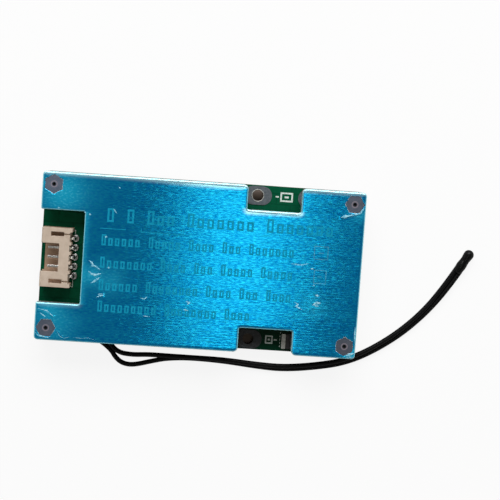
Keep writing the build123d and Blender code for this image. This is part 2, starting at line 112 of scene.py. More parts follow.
def blend(tree, factor, first, second):
    """A colour between two colours, each a colour or a socket, by a factor from 0 to 1."""
    made = tree.nodes.new("ShaderNodeMix")
    made.data_type = "RGBA"
    for socket, value in zip((made.inputs[0], made.inputs[6], made.inputs[7]),
                             (factor, first, second)):
        plug(tree, socket, value)
    return made.outputs[2]


def ramp(tree, value, low, high, first=0.0, second=1.0):
    """Maps a value's range from low to high to another range, and keeps it inside that."""
    made = add(tree, "MapRange", Value=value)
    for socket, number in zip(made.inputs[1:5], (low, high, first, second)):
        plug(tree, socket, number)
    return made.outputs[0]


# %% Starting a material
def material(name, **values):
    """A material with a Principled BSDF whose own sockets have these values."""
    made = bpy.data.materials.new(name)
    made.use_nodes = True
    shader = made.node_tree.nodes["Principled BSDF"]
    for socket, value in values.items():
        shader.inputs[socket.replace("_", " ")].default_value = value
    return made, made.node_tree, shader


# %% [markdown]
# ## Shared effects
# Two effects return in most of the finishes. Grain is noise that can be drawn out along one
# axis. Rounded edges catch the light, as every real edge is a little round. Both could be
# built anew in each material. Instead each is a node group with named sockets, built once and
# placed in a material with that material's own values.

# %% An empty group
def start_group(name, inputs, outputs):
    """An empty shader group with these sockets: (name, kind, value) for each input."""
    made = bpy.data.node_groups.new(name, "ShaderNodeTree")
    for title, kind, value in inputs:
        socket = made.interface.new_socket(title, in_out="INPUT", socket_type="NodeSocket" + kind)
        socket.default_value = value
    for title, kind in outputs:
        made.interface.new_socket(title, in_out="OUTPUT", socket_type="NodeSocket" + kind)
    return made, made.nodes.new("NodeGroupInput"), made.nodes.new("NodeGroupOutput")


# %% Grain
def make_grain():
    """Noise drawn out along one axis: the point is scaled by a vector before the noise."""
    tree, given, result = start_group(
        "Grain", [("Scale", "Vector", (1, 1, 1)), ("Detail", "Float", 2.0),
                  ("Low", "Float", 0.3), ("High", "Float", 0.7)], [("Value", "Float")])
    place = add(tree, "TexCoord").outputs["Object"]
    scaled = add(tree, "VectorMath", operation="MULTIPLY")
    tree.links.new(place, scaled.inputs[0])
    tree.links.new(given.outputs["Scale"], scaled.inputs[1])
    noise = add(tree, "TexNoise", Vector=scaled.outputs[0], Scale=1.0, Roughness=0.6)
    tree.links.new(given.outputs["Detail"], noise.inputs["Detail"])
    value = ramp(tree, noise.outputs[0], given.outputs["Low"], given.outputs["High"])
    tree.links.new(value, result.inputs[0])
    return tree


grain_group = make_grain()
print("Group:", grain_group.name)


def grain(tree, scale, detail=2.0, low=0.3, high=0.7):
    """Places the grain group; scale is per metre along each axis."""
    made = add(tree, "Group", node_tree=grain_group)
    made.inputs["Scale"].default_value = scale
    made.inputs["Detail"].default_value = detail
    made.inputs["Low"].default_value = low
    made.inputs["High"].default_value = high
    return made.outputs[0]


# %% Rounded edges
def make_edge_rounding():
    """A normal that turns smoothly round sharp edges, from a Bevel node with a radius."""
    tree, given, result = start_group(
        "Edge rounding", [("Radius", "Float", 0.0001)], [("Normal", "Vector")])
    bevel = add(tree, "Bevel", samples=4, Radius=given.outputs["Radius"])
    tree.links.new(bevel.outputs[0], result.inputs[0])
    return tree


edge_group = make_edge_rounding()
print("Group:", edge_group.name)


def rounded_edges(tree, radius):
    """Places the edge group; the radius is in metres."""
    made = add(tree, "Group", node_tree=edge_group)
    made.inputs["Radius"].default_value = radius
    return made.outputs["Normal"]


def bump(tree, shader, height, distance, normal=None):
    """A bump of this distance in metres, on top of a normal, for the shader's normal."""
    made = add(tree, "Bump", Height=height, Distance=distance, Strength=1.0)
    if normal is not None:
        tree.links.new(normal, made.inputs["Normal"])
    tree.links.new(made.outputs[0], shader.inputs["Normal"])


# %% [markdown]
# ## The floor
# The board lies on a plain pale floor. Strong lamps could make it white, but they would wash out
# the board too. So the floor's white is a glow that only the camera sees, and the soft shadow
# stays. Right under the board the floor has no glow and is painted dark brown, a painted shadow, so
# that nothing white shows through the board's holes. From below, the floor is see-through.

# %% Floor
floor_half = 3.0
floor_data = bpy.data.meshes.new("floor")
floor_data.from_pydata([(-floor_half, -floor_half, 0), (floor_half, -floor_half, 0),
                        (floor_half, floor_half, 0), (-floor_half, floor_half, 0)],
                       [], [(0, 1, 2, 3)])
floor = bpy.data.objects.new("floor", floor_data)
bpy.context.scene.collection.objects.link(floor)
print("Floor width in m:", 2 * floor_half)

# %% Floor finish
covered_half = (0.034, 0.0178)
glow_share = 0.86
floor_material, tree, shader = material("pale floor", Roughness=0.9)
glow = add(tree, "Emission", Color=(1, 1, 1, 1), Strength=1.03)
seen = add(tree, "LightPath").outputs["Is Camera Ray"]
place = add(tree, "SeparateXYZ", Vector=add(tree, "TexCoord").outputs["Object"])
beyond_x = calc(tree, "SUBTRACT", calc(tree, "ABSOLUTE", place.outputs["X"]), covered_half[0])
beyond_y = calc(tree, "SUBTRACT", calc(tree, "ABSOLUTE", place.outputs["Y"]), covered_half[1])
outside = ramp(tree, calc(tree, "MAXIMUM", beyond_x, beyond_y), -0.0008, -0.0002)
# Painted shadow: under the board's outline the floor is a dark brown instead of pale.
plug(tree, shader.inputs["Base Color"], blend(tree, outside, (0.22, 0.17, 0.14, 1),
                                              (0.8, 0.8, 0.8, 1)))
mixed = add(tree, "MixShader")
share = calc(tree, "MULTIPLY", calc(tree, "MULTIPLY", seen, glow_share), outside)
for socket, link in zip(mixed.inputs, (share, shader.outputs[0], glow.outputs[0])):
    tree.links.new(link, socket)
from_below = add(tree, "MixShader")
for socket, link in zip(from_below.inputs, (add(tree, "NewGeometry").outputs["Backfacing"],
                                            mixed.outputs[0],
                                            add(tree, "BsdfTransparent").outputs[0])):
    tree.links.new(link, socket)
tree.links.new(from_below.outputs[0], tree.nodes["Material Output"].inputs["Surface"])
floor_data.materials.append(floor_material)
print("Floor finish:", floor_material.name)

# %% [markdown]
# ## The sky
# An even glow all round fills the shadows, as the walls of a small photo tent do. The camera
# sees it as white. Metal mirrors it, white near the horizon and dimmer overhead, so that flat
# metal keeps its own colour while its edges shine. The world's colour changes with the
# direction only, and Light Path tells which kind of ray asks.

# %% Sky
world = bpy.data.worlds.new("studio")
world.use_nodes = True
bpy.context.scene.world = world
tree = world.node_tree
tree.nodes.clear()
light_path = add(tree, "LightPath")
direction = add(tree, "SeparateXYZ", Vector=add(tree, "TexCoord").outputs["Generated"])
ceiling = ramp(tree, direction.outputs["Z"], 0.15, 0.75, 1.0, 0.20)
fill = calc(tree, "MAXIMUM", ramp(tree, direction.outputs["Y"], -0.05, 0.8, 0.03, 0.6),
            ramp(tree, direction.outputs["Z"], 0.05, 0.4, 0.5, 0.0))
mirrored = calc(tree, "MAXIMUM", light_path.outputs["Is Glossy Ray"],
                light_path.outputs["Is Transmission Ray"])
level = calc(tree, "ADD", calc(tree, "MULTIPLY", mirrored, ceiling),
             calc(tree, "MULTIPLY", calc(tree, "SUBTRACT", 1.0, mirrored), fill))
level = calc(tree, "MAXIMUM", level, light_path.outputs["Is Camera Ray"])
background = add(tree, "Background", Color=(1, 1, 1, 1), Strength=level)
tree.links.new(background.outputs[0], add(tree, "OutputWorld").inputs["Surface"])
print("Sky:", world.name)

# %% [markdown]
# ## The lamps
# The film mirrors the ceiling light in its bright middle, so that light's edges are where the
# bright zone ends. A small end piece makes the zone longer at the far right. A large soft
# light behind the board's far edge lights the rolled edges and the standoffs.

# %% Lamps
def lamp(name, place, target, size, power, colour=(1, 1, 1)):
    """A rectangular soft light at a place in mm, aimed at a target, with its size in mm."""
    data = bpy.data.lights.new(name, "AREA")
    data.shape = "RECTANGLE"
    data.size, data.size_y = size[0] * mm, size[1] * mm
    data.energy = power
    data.color = colour
    made = bpy.data.objects.new(name, data)
    made.location = [value * mm for value in place]
    aim = np.array(target, float) - np.array(place, float)
    back = -aim / np.linalg.norm(aim)
    side = np.cross((0, 1, 0), back)
    side /= np.linalg.norm(side)
    made.rotation_euler = Matrix(np.column_stack([side, np.cross(back, side), back])).to_euler()
    bpy.context.scene.collection.objects.link(made)
    print("Lamp:", name)


warm_white = (1.0, 0.98, 0.8)
lamp("ceiling light", (33, -32, 600), (33, -32, 0), (72, 200), 0.120, warm_white)
lamp("ceiling light end", (83, -14, 600), (83, -14, 0), (26, 46), 0.010, warm_white)
lamp("far soft light", (0, 520, 480), (0, 0, 8), (700, 400), 4.8)

# %% [markdown]
# ## The sensor lead
# Two thin insulated wires leave solder joints under the board and run round its lower edge
# to a temperature sensor. Each is a fixed length of limp wire, so it is drawn as one smooth
# NURBS spline through the same route as the CAD solid. A bevelled curve gives it its
# thickness, which stays even round every bend.

# %% Routes of the two cores
core_diameter = 1.05
upper_route = [
    (-24.0, -13.8, 1.0), (-21.0, -16.1, 1.0), (-18.45, -18.3, 1.0), (-16.5, -20.3, 1.45),
    (-13.4, -20.7, 1.35), (-9.8, -20.4, 1.4), (-6.0, -20.45, 1.45), (-1.0, -20.45, 1.6),
    (6.5, -20.5, 1.5), (14.0, -21.1, 1.45), (19.5, -21.25, 1.4), (26.0, -20.45, 1.4),
    (32.4, -19.1, 1.35), (38.2, -16.2, 1.3), (44.2, -11.9, 1.2), (49.4, -6.7, 1.15),
    (53.517, -0.81, 1.1), (55.767, 2.99, 1.1),
]
lower_route = [
    (-26.1, -14.3, 1.0), (-23.0, -16.5, 1.0), (-20.0, -18.4, 0.6), (-17.85, -20.1, 0.53),
    (-17.0, -21.45, 0.53), (-15.75, -22.55, 0.53), (-14.15, -23.0, 0.53), (-12.3, -22.85, 0.53),
    (-9.3, -22.0, 0.53), (-6.0, -21.15, 0.53), (-1.0, -20.75, 0.53), (6.5, -21.0, 0.53),
    (14.0, -21.75, 0.53), (19.5, -22.0, 0.53), (26.2, -21.2, 0.53), (32.7, -19.85, 0.53),
    (38.7, -16.95, 0.53), (44.9, -12.55, 0.53), (50.2, -7.25, 0.65), (54.433, -1.34, 1.1),
    (56.683, 2.46, 1.1),
]
print("Route points:", len(upper_route), "and", len(lower_route))


# %% Two cores
def wire(name, route):
    """One core of the lead: a NURBS spline of order 3 with the route as its control points."""
    curve = bpy.data.curves.new(name, "CURVE")
    curve.dimensions = "3D"
    curve.resolution_u = 10
    curve.bevel_depth = 1
    curve.bevel_resolution = 5
    curve.use_fill_caps = True
    spline = curve.splines.new("NURBS")
    spline.points.add(len(route) - 1)
    for point, (x, y, z) in zip(spline.points, route):
        point.co = (x * mm, y * mm, z * mm, 1)
        point.radius = core_diameter / 2 * mm
    spline.order_u = 3
    spline.use_endpoint_u = True
    made = bpy.data.objects.new(name, curve)
    bpy.context.scene.collection.objects.link(made)
    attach(made, "root")
    return made


upper_core = wire("upper_core", upper_route)
lower_core = wire("lower_core", lower_route)
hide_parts("sensor_core_upper")
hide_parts("sensor_core_lower")
print("Cores:", upper_core.name, lower_core.name)

# %% [markdown]
# ## The sensor's tip
# The lead ends in a bead of black resin, into which the sensor was dipped. It could be a
# sphere on a tube, but the real bead has a neck behind its rounded tip. So it is a surface
# turned round the lead's last direction, with its radius from a table. The first helper turns
# arrays of points and faces into a mesh, and later pieces use it too.

# %% Meshes from arrays
same_place = 0.000001


def mesh_piece(name, points, faces):
    """A smooth mesh from arrays of points in metres and of four-cornered faces. Points that
    lie in the same place, at a seam or a pole, become one, so that the mesh is closed."""
    data = bpy.data.meshes.new(name)
    data.vertices.add(len(points))
    data.vertices.foreach_set("co", np.asarray(points, np.float32).ravel())
    data.loops.add(faces.size)
    data.loops.foreach_set("vertex_index", faces.astype(np.int32).ravel())
    data.polygons.add(len(faces))
    data.polygons.foreach_set("loop_start", np.arange(0, faces.size, 4, dtype=np.int32))
    data.polygons.foreach_set("use_smooth", np.ones(len(faces), bool))
    data.update(calc_edges=True)
    shell = bmesh.new()
    shell.from_mesh(data)
    bmesh.ops.remove_doubles(shell, verts=shell.verts, dist=same_place)
    shell.to_mesh(data)
    shell.free()
    made = bpy.data.objects.new(name, data)
    bpy.context.scene.collection.objects.link(made)
    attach(made, "root")
    return made


# %% Sensor tip
def sensor_tip():
    """A surface turned round the lead's last direction: at each distance along the axis the
    radius comes from a table, with a neck behind the rounded tip."""
    start = np.array([56.225, 2.725, 1.1])
    along = np.array(upper_route[-1]) - upper_route[-2]
    along = along + lower_route[-1] - lower_route[-2]
    along[2] = 0
    along /= np.linalg.norm(along)
    side = np.cross((0, 0, 1), along)
    length, tip_radius = 4.45, 1.1
    cap = np.linspace(0, math.pi / 2, 9)
    at = np.concatenate([[-1.3, -1.3, -0.8, -0.3, 0.2, 0.7, 1.1, 1.5, 2.0, 2.5, 3.0],
                         length - tip_radius + tip_radius * np.sin(cap)])
    radius = np.concatenate([[0, 0.84, 0.93, 1.02, 1.08, 1.09, 1.05, 0.99, 0.97, 1.02, 1.08],
                             tip_radius * np.cos(cap)])
    turn = np.linspace(0, 2 * math.pi, 41)
    points = (start + at[:, None, None] * along
              + radius[:, None, None] * (np.cos(turn)[:, None] * side
                                         + np.sin(turn)[:, None] * np.array([0, 0, 1.0])))
    number = np.arange(at.size * turn.size).reshape(at.size, turn.size)
    faces = np.stack([number[:-1, :-1], number[1:, :-1], number[1:, 1:], number[:-1, 1:]], -1)
    return mesh_piece("sensor_tip", points.reshape(-1, 3) * mm, faces.reshape(-1, 4)[:, ::-1])


bead = sensor_tip()
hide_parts("sensor_bead")
print("Tip faces:", len(bead.data.polygons))

# %% [markdown]
# ## The lead's finishes
# The bead is glossy resin and the cores are dull rubber, both nearly black. A plain black
# would look like a hole in the picture, so a faint blotchy tone and a fine bump break up the
# shine. The cores get less bump, as drawn insulation is smoother than dipped resin.

# %% Bead finish and cords
bead_resin, tree, shader = material("black bead resin", Roughness=0.18, Specular_IOR_Level=0.12)
shade = grain(tree, (1200, 1200, 1200), 3.0, 0.3, 0.7)
plug(tree, shader.inputs["Base Color"], blend(tree, shade, (0.002, 0.002, 0.002, 1),
                                              (0.006, 0.006, 0.006, 1)))
bump(tree, shader, shade, 0.00003)
bead.data.materials.append(bead_resin)
print("Bead finish:", bead_resin.name)

# %% Insulation
insulation, tree, shader = material("black wire insulation", Roughness=0.42,
                                    Specular_IOR_Level=0.1)
shade = grain(tree, (900, 900, 900), 3.0, 0.3, 0.75)
plug(tree, shader.inputs["Base Color"], blend(tree, shade, (0.002, 0.002, 0.002, 1),
                                              (0.005, 0.005, 0.006, 1)))
bump(tree, shader, grain(tree, (2500, 2500, 2500), 2.0), 0.000006)
upper_core.data.materials.append(insulation)
lower_core.data.materials.append(insulation)
print("Core finish:", insulation.name)

# %% [markdown]
# ## The protective film
# A thin blue film covers the heat plate and its rolled edges, with a window cut round each
# standoff. It could be a copy of the plate's top face, but real film has torn window edges,
# small creases and lifted corners. So it is worked out as a height over a grid: the outline
# is a distance field, the grid's outer points are moved onto it, and every crease is a low
# ridge along a line.

# %% The plate's outline as a distance
plate_half = (33.75, 17.6)
film_top = 8.78
film_sheet = 0.03
hex_places = [(-31.35, 15.0), (31.35, 15.0), (-31.35, -15.0), (31.35, -15.0)]
hex_turns = (0, 30, 30, 0)
window_half = 3.61 / 2
power_left, power_right = 8.9, 20.2


def rounded_box(x, y, low, high, radius):
    """Distance to a rounded rectangle, negative inside: the length of the part of the offset
    from its inner rectangle that sticks out, less the radius."""
    qx = np.abs(x - (low[0] + high[0]) / 2) - (high[0] - low[0]) / 2 + radius
    qy = np.abs(y - (low[1] + high[1]) / 2) - (high[1] - low[1]) / 2 + radius
    return (np.hypot(np.maximum(qx, 0), np.maximum(qy, 0))
            + np.minimum(np.maximum(qx, qy), 0) - radius)


def cut(body, hole, radius):
    """Takes a hole out of a body and rounds the lip between them: both distances are moved
    in by the radius, and the length of what sticks out of each is added."""
    reach = np.hypot(np.maximum(radius + body, 0), np.maximum(radius - hole, 0))
    return np.minimum(-radius, np.maximum(body, -hole)) + reach


def plate_distance(x, y):
    """Distance to the plate's outline: a rounded rectangle less the connector's notch and
    the two power notches."""
    far = 60
    edge = rounded_box(x, y, (-plate_half[0], -plate_half[1]), plate_half, 0.8)
    edge = cut(edge, rounded_box(x, y, (-far, -9.7), (-24.65, 9.7), 0.4), 0.35)
    edge = cut(edge, rounded_box(x, y, (power_left, 12.45), (power_right, far), 0.4), 1.0)
    return cut(edge, rounded_box(x, y, (power_left, -far), (power_right, -12.45), 0.4), 1.0)


def window_distance(x, y):
    """Distance to the nearest hexagon window: the largest offset along its three flats'
    directions, with a small ripple where the film tore round the flats."""
    nearest = np.full(np.shape(x), 99.0)
    for (hex_x, hex_y), turn in zip(hex_places, hex_turns):
        offsets = [np.abs((x - hex_x) * math.cos(math.radians(turn + step))
                          + (y - hex_y) * math.sin(math.radians(turn + step)))
                   for step in (0, 60, 120)]
        nearest = np.minimum(nearest, np.max(offsets, axis=0) - window_half)
    angle = np.arctan2(np.abs(y) - 15.0, np.abs(x) - 31.35)
    return nearest - 0.03 * np.sin(angle * 7 + x) - 0.02 * np.sin(angle * 17 + y)


def film_distance(x, y):
    """Distance to the film's outline: the plate's outline less the windows."""
    return np.maximum(plate_distance(x, y), -window_distance(x, y))


print("Plate size in mm:", 2 * plate_half[0], 2 * plate_half[1])

# %% [markdown]
# ## How high the film lies
# The film follows the plate's punched edge, which is drawn down a little and then turns over.
# It could be bent with a modifier, but the roll runs along a notched outline. The distance to
# the outline gives it directly: the nearer the edge, the lower the film. Creases are added as
# soft ridges along broken lines: the points in mm, then the ridge's height and half width.

# %% The film's height
roll_width, roll_drop, roll_round = 0.75, 0.08, 0.28


def roll(depth, share):
    """How far the edge has rolled down at a distance inside the outline: a share of a
    shallow slope that steepens outwards, then a quarter round."""
    slope = share * roll_drop * np.clip(1 - depth / roll_width, 0, 1) ** 1.7
    rounded = np.clip(1 - depth / roll_round, 0, 1)
    return slope + roll_round * (1 - np.sqrt(1 - rounded ** 2))


def ridge(x, y, points, height, width):
    """A crease: a ridge whose height falls off with the distance from a broken line."""
    nearest = np.full(np.shape(x), 99.0)
    for (ax, ay), (bx, by) in zip(points, points[1:]):
        run = (bx - ax) ** 2 + (by - ay) ** 2
        along = np.clip(((x - ax) * (bx - ax) + (y - ay) * (by - ay)) / run, 0, 1)
        nearest = np.minimum(nearest, np.hypot(x - ax - along * (bx - ax),
                                               y - ay - along * (by - ay)))
    return height * np.exp(-(nearest / width) ** 2)


creases = [
    ([(-33.45, 14.3), (-32.3, 13.4), (-31.2, 12.85)], 0.05, 0.16),
    ([(28.7, 12.1), (30.4, 12.6), (32.6, 13.2), (33.3, 14.3)], 0.08, 0.22),
    ([(-33.4, -11.4), (-31.8, -11.7), (-29.8, -12.5)], 0.06, 0.18),
    ([(-29.1, -15.4), (-27.5, -16.9), (-26.1, -16.6), (-23.7, -16.7), (-20.9, -16.9)], 0.03, 0.16),
    ([(-24.4, -9.8), (-21.9, -8.35), (-19.9, -7.4)], 0.045, 0.22),
    ([(-24.1, -2.0), (-22.6, -3.8), (-20.6, -5.3)], 0.02, 0.2),
    ([(-24.0, 9.2), (-18.0, 9.2), (-12.0, 9.3)], 0.012, 0.25),
    ([(31.6, -17.0), (32.7, -16.5), (33.6, -16.2)], 0.05, 0.3),
]


def film_height(x, y):
    """The film's top: its level less the rolled edge, with the creases added. An edge that
    faces along X has only a quarter of the slope."""
    tiny = 1e-3
    faces_x = (plate_distance(x + tiny, y) - plate_distance(x - tiny, y)) / (2 * tiny)
    height = film_top - roll(-plate_distance(x, y), 1 - 0.75 * np.minimum(np.abs(faces_x), 1))
    for points, rise, width in creases:
        height = height + ridge(x, y, points, rise, width)
    return height


print("Creases:", len(creases))

# %% [markdown]
# ## The film's mesh
# The mesh is a grid of lines along the board, close together at the edges that roll and wide
# apart elsewhere. A grid could be trimmed with a Boolean, but that leaves ragged corners. So
# cells outside the outline are left out, and the points on the border move onto it.

# %% The film's grid
def grid_lines(half, stops, fine_from):
    """Grid lines from -half to half: close to each other beside every stop, where an edge
    rolls, and wider apart elsewhere."""
    steps = np.array([0, 0.03, 0.08, 0.14, 0.21, 0.3, 0.42, 0.56, 0.72, 0.9, 1.1, 1.3])
    fixed = [side * stop + inward * steps for stop, inward in stops for side in (-1, 1)]
    fixed = np.unique(np.round(np.concatenate([*fixed, [-half, half]]), 4))
    fixed = fixed[np.abs(fixed) <= half]
    lines = []
    for low, high in zip(fixed, fixed[1:]):
        spacing = 0.16 if abs(low + high) / 2 > fine_from else 0.5
        lines.append(np.linspace(low, high, max(1, math.ceil((high - low) / spacing)),
                                 endpoint=False))
    return np.append(np.concatenate(lines), half)


def around(stops):
    """Each stop with both directions, as an edge may lie on either side."""
    return [(stop, way) for stop in stops for way in (-1, 1)]


x_lines = grid_lines(plate_half[0], around([33.75]) + [(24.65, -1), (24.65, 1), (8.9, -1),
                                                       (20.2, 1)], 28.8)
y_lines = grid_lines(plate_half[1], around([17.6, 12.45, 9.7]), 12.0)
print("Film grid:", len(x_lines), "by", len(y_lines))


# %% The film's sheet
def sheet_mesh(name, x_lines, y_lines, distance, height):
    """A sheet over a grid. Cells whose middle is inside the outline are kept, the points on
    their border are moved along the distance's slope onto the outline, and each point is
    lifted to the height there."""
    x, y = (grid.astype(float) for grid in np.meshgrid(x_lines, y_lines, indexing="ij"))
    middle_x = (x[:-1, :-1] + x[1:, 1:]) / 2
    middle_y = (y[:-1, :-1] + y[1:, 1:]) / 2
    kept = distance(middle_x, middle_y) < 0
    touched = np.zeros(x.shape)
    for row in (slice(0, -1), slice(1, None)):
        for column in (slice(0, -1), slice(1, None)):
            touched[row, column] += kept
    border = (touched > 0) & ((touched < 4) | (distance(x, y) > 0))
    tiny = 1e-4
    for _ in range(4):
        gap = distance(x, y)
        slope_x = (distance(x + tiny, y) - distance(x - tiny, y)) / (2 * tiny)
        slope_y = (distance(x, y + tiny) - distance(x, y - tiny)) / (2 * tiny)
        length = np.maximum(slope_x ** 2 + slope_y ** 2, 0.25)
        x = np.where(border, x - gap * slope_x / length, x)
        y = np.where(border, y - gap * slope_y / length, y)
    number = np.cumsum(touched > 0).reshape(x.shape) - 1
    used = touched > 0
    points = np.column_stack([x[used], y[used], height(x[used], y[used])]) * mm
    corners = np.stack([number[:-1, :-1], number[1:, :-1], number[1:, 1:], number[:-1, 1:]], -1)
    return mesh_piece(name, points, corners[kept])


film = sheet_mesh("film_sheet", x_lines, y_lines, film_distance, film_height)
thickness = film.modifiers.new("thickness", "SOLIDIFY")
thickness.thickness = film_sheet * mm
thickness.offset = -1
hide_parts("protective_film")
print("Film faces:", len(film.data.polygons))


# %% [markdown]
# ## Where the film has come loose
# The finish has to know three things about each point of the film: how far inside the outline it
# lies, how loose the film is there, together with a painted highlight beside the connector's notch,
# and where a painted highlight lies along the long edges that face the far soft light. They could
# be painted by hand. Here each is worked out from the point's place and stored in the mesh, where
# the material reads it as an attribute.

# %% Masks on the film
def blot(x, y, place, radius):
    """A soft round patch, 1 in its middle, that falls off with the squared distance."""
    return np.exp(-((x - place[0]) ** 2 + (y - place[1]) ** 2) / radius ** 2)


def write_mask(piece, name, values):
    """Stores one number per point of a mesh, for its material to read."""
    attribute = piece.data.attributes.new(name, "FLOAT", "POINT")
    attribute.data.foreach_set("value", np.asarray(values, np.float32))


places = np.empty(len(film.data.vertices) * 3, np.float32)
film.data.vertices.foreach_get("co", places)
x, y, _ = places.reshape(-1, 3).T.astype(float) / mm
depth = -plate_distance(x, y)
# Each patch: its middle in mm, its radius and how loose the film is there.
patches = [((-29.5, 13.5), 5.0, 0.75), ((-29.5, -14.0), 4.6, 0.45), ((32.6, 13.2), 1.6, 0.5),
           ((32.6, -16.8), 1.5, 1.0), ((-31.0, -10.6), 2.4, 0.4), ((-22.6, -3.4), 2.0, 0.6),
           ((-18.5, -4.2), 2.8, 0.4), ((24.5, -7.0), 2.2, 0.3)]
loose_and_painted_highlight = sum(share * blot(x, y, place, radius) for place, radius, share in patches)
# Painted highlight: a band along the right edge of the connector's notch is added to this mask, so
# the film there is painted paler.
loose_and_painted_highlight += 0.4 * np.exp(-((x + 24.4) / 0.8) ** 2) * (np.abs(y) < 9.7)
tiny = 1e-3
# Painted highlight: along the edges that face +Y, towards the far soft light, the film is painted
# nearly white. The band is widest near the board's middle and weaker below the middle line.
faces_away = (plate_distance(x, y + tiny) - plate_distance(x, y - tiny)) / (2 * tiny)
reach = 0.9 + 0.35 * blot(x, 0, (1.0, 0), 11.0)
painted_edge_highlight = np.clip(faces_away, 0, 1) * np.clip(1.25 - depth / reach, 0, 1) ** 1.6
painted_edge_highlight *= np.where(y < 0, 0.45, 1)
write_mask(film, "depth", depth)
write_mask(film, "loose_and_painted_highlight", np.clip(loose_and_painted_highlight, 0, 1))
write_mask(film, "painted_edge_highlight", painted_edge_highlight)
print("Loose patches:", len(patches))

# %% [markdown]
# ## The film's finish
# Blue film over brushed aluminium looks like coloured metal. It could be glass over metal in
# two layers, but so thin a film hardly bends light. So it is one finish that is partly
# metallic, as much of the light comes back from the metal. The brush marks run along the
# board: noise that is drawn out along X tilts the surface a little from mark to mark, and
# breaks a reflection into short bright dashes. Loose film is paler and duller.

# %% Film marks
blue_film, tree, shader = material("blue film on brushed metal", Roughness=0.065,
                                   Specular_IOR_Level=0.0, Coat_Roughness=0.08)
marks = grain(tree, (170, 3600, 1), 2.0, 0.3, 0.7)
hairs = grain(tree, (400, 9000, 1), 2.0, 0.3, 0.7)
dashes = grain(tree, (1050, 6000, 1), 1.5, 0.45, 0.61)
loose_and_painted_highlight_mask = add(tree, "Attribute", attribute_name="loose_and_painted_highlight").outputs["Fac"]
depth_mask = add(tree, "Attribute", attribute_name="depth").outputs["Fac"]
painted_edge_highlight_mask = add(tree, "Attribute", attribute_name="painted_edge_highlight").outputs["Fac"]
# Painted highlight: on the rolled edge, within 0.3 mm of the outline, the film is painted paler.
# The coat there gives a real shine.
rim = ramp(tree, depth_mask, 0.13, 0.30, 1.0, 0.0)
pale = calc(tree, "MINIMUM", calc(tree, "ADD", loose_and_painted_highlight_mask, rim), 1.0)
print("Film finish:", blue_film.name)

# %% Film colour
tone = grain(tree, (120, 420, 1), 3.0, 0.3, 0.7)
tone = calc(tree, "ADD", calc(tree, "MULTIPLY", tone, 0.25), calc(tree, "MULTIPLY", dashes, 0.75))
blue = blend(tree, tone, (0.0003, 0.155, 0.45, 1), (0.010, 0.40, 0.68, 1))
blue = blend(tree, pale, blue, (0.018, 0.56, 0.84, 1))
flecks = calc(tree, "MULTIPLY", loose_and_painted_highlight_mask, grain(tree, (1500, 2600, 1), 4.0, 0.5, 0.64))
blue = blend(tree, flecks, blue, (0.08, 0.68, 0.94, 1))
blue = blend(tree, rim, blue, (0.26, 0.74, 0.88, 1))
# Where the edge highlight is painted, the film is nearly white, less metallic and smoother.
plug(tree, shader.inputs["Base Color"], blend(tree, painted_edge_highlight_mask, blue, (0.52, 0.90, 0.98, 1)))
print("Nodes with the colour:", len(tree.nodes))

# %% Film shine
shine = ramp(tree, dashes, 0.0, 1.0, 0.6, 0.74)
shine = calc(tree, "MULTIPLY", shine, ramp(tree, pale, 0.0, 1.0, 1.0, 0.45))
shine = calc(tree, "MULTIPLY", shine, ramp(tree, painted_edge_highlight_mask, 0.0, 1.0, 1.0, 0.85))
plug(tree, shader.inputs["Metallic"], shine)
height = calc(tree, "ADD", calc(tree, "MULTIPLY", marks, 0.8), calc(tree, "MULTIPLY", hairs, 0.13))
height = calc(tree, "MULTIPLY", height, ramp(tree, painted_edge_highlight_mask, 0.0, 1.0, 1.0, 0.1))
bump(tree, shader, height, 0.000013)
plug(tree, shader.inputs["Coat Weight"], rim)
film.data.materials.append(blue_film)
print("Nodes with the shine:", len(tree.nodes))

# %% [markdown]
# ## The print on the film
# The film carries five rows of small frames, two tick boxes and thin rules in worn ink. They
# could be a mask in the film's finish, but ink on film stands a few thousandths of a
# millimetre proud, and its edges stay sharp close up. So the bars are thin sheets of their
# own that follow the film's height.

# %% Bars that follow the film
ink_rise = 0.006


def bars_mesh(name, boxes, height=film_height, cell=0.35):
    """One mesh of many small sheets. Each box (low x, low y, high x, high y) is a grid of
    equal cells, and each point is lifted to the height there and the ink's rise above it."""
    points, faces, start = [], [], 0
    for low_x, low_y, high_x, high_y in boxes:
        count_x = max(1, round((high_x - low_x) / cell))
        count_y = max(1, round((high_y - low_y) / cell))
        x, y = np.meshgrid(np.linspace(low_x, high_x, count_x + 1),
                           np.linspace(low_y, high_y, count_y + 1), indexing="ij")
        number = start + np.arange(x.size).reshape(x.shape)
        points.append(np.column_stack([x.ravel(), y.ravel(),
                                       (height(x, y) + ink_rise).ravel()]) * mm)
        faces.append(np.stack([number[:-1, :-1], number[1:, :-1], number[1:, 1:],
                               number[:-1, 1:]], -1).reshape(-1, 4))
        start += x.size
    return mesh_piece(name, np.concatenate(points), np.concatenate(faces))


def frame_boxes(low_x, low_y, high_x, high_y, line):
    """Four thin bars round a rectangle."""
    return [(low_x, low_y, high_x, low_y + line), (low_x, high_y - line, high_x, high_y),
            (low_x, low_y + line, low_x + line, high_y - line),
            (high_x - line, low_y + line, high_x, high_y - line)]


# %% Rows of frames
frame_share = 0.66
first_share = 1.45


def row_of_frames(x, y, pitch, height, line, groups):
    """A row of small frames in groups. The first frame of a group is nearly half as tall
    again as the others, and one empty place follows each group."""
    boxes = []
    for count in groups:
        for number in range(count):
            tall = height * (first_share if number == 0 else 1)
            low = y - height / 2
            boxes += frame_boxes(x, low, x + pitch * frame_share, low + tall, line)
            x += pitch
        x += pitch
    return boxes


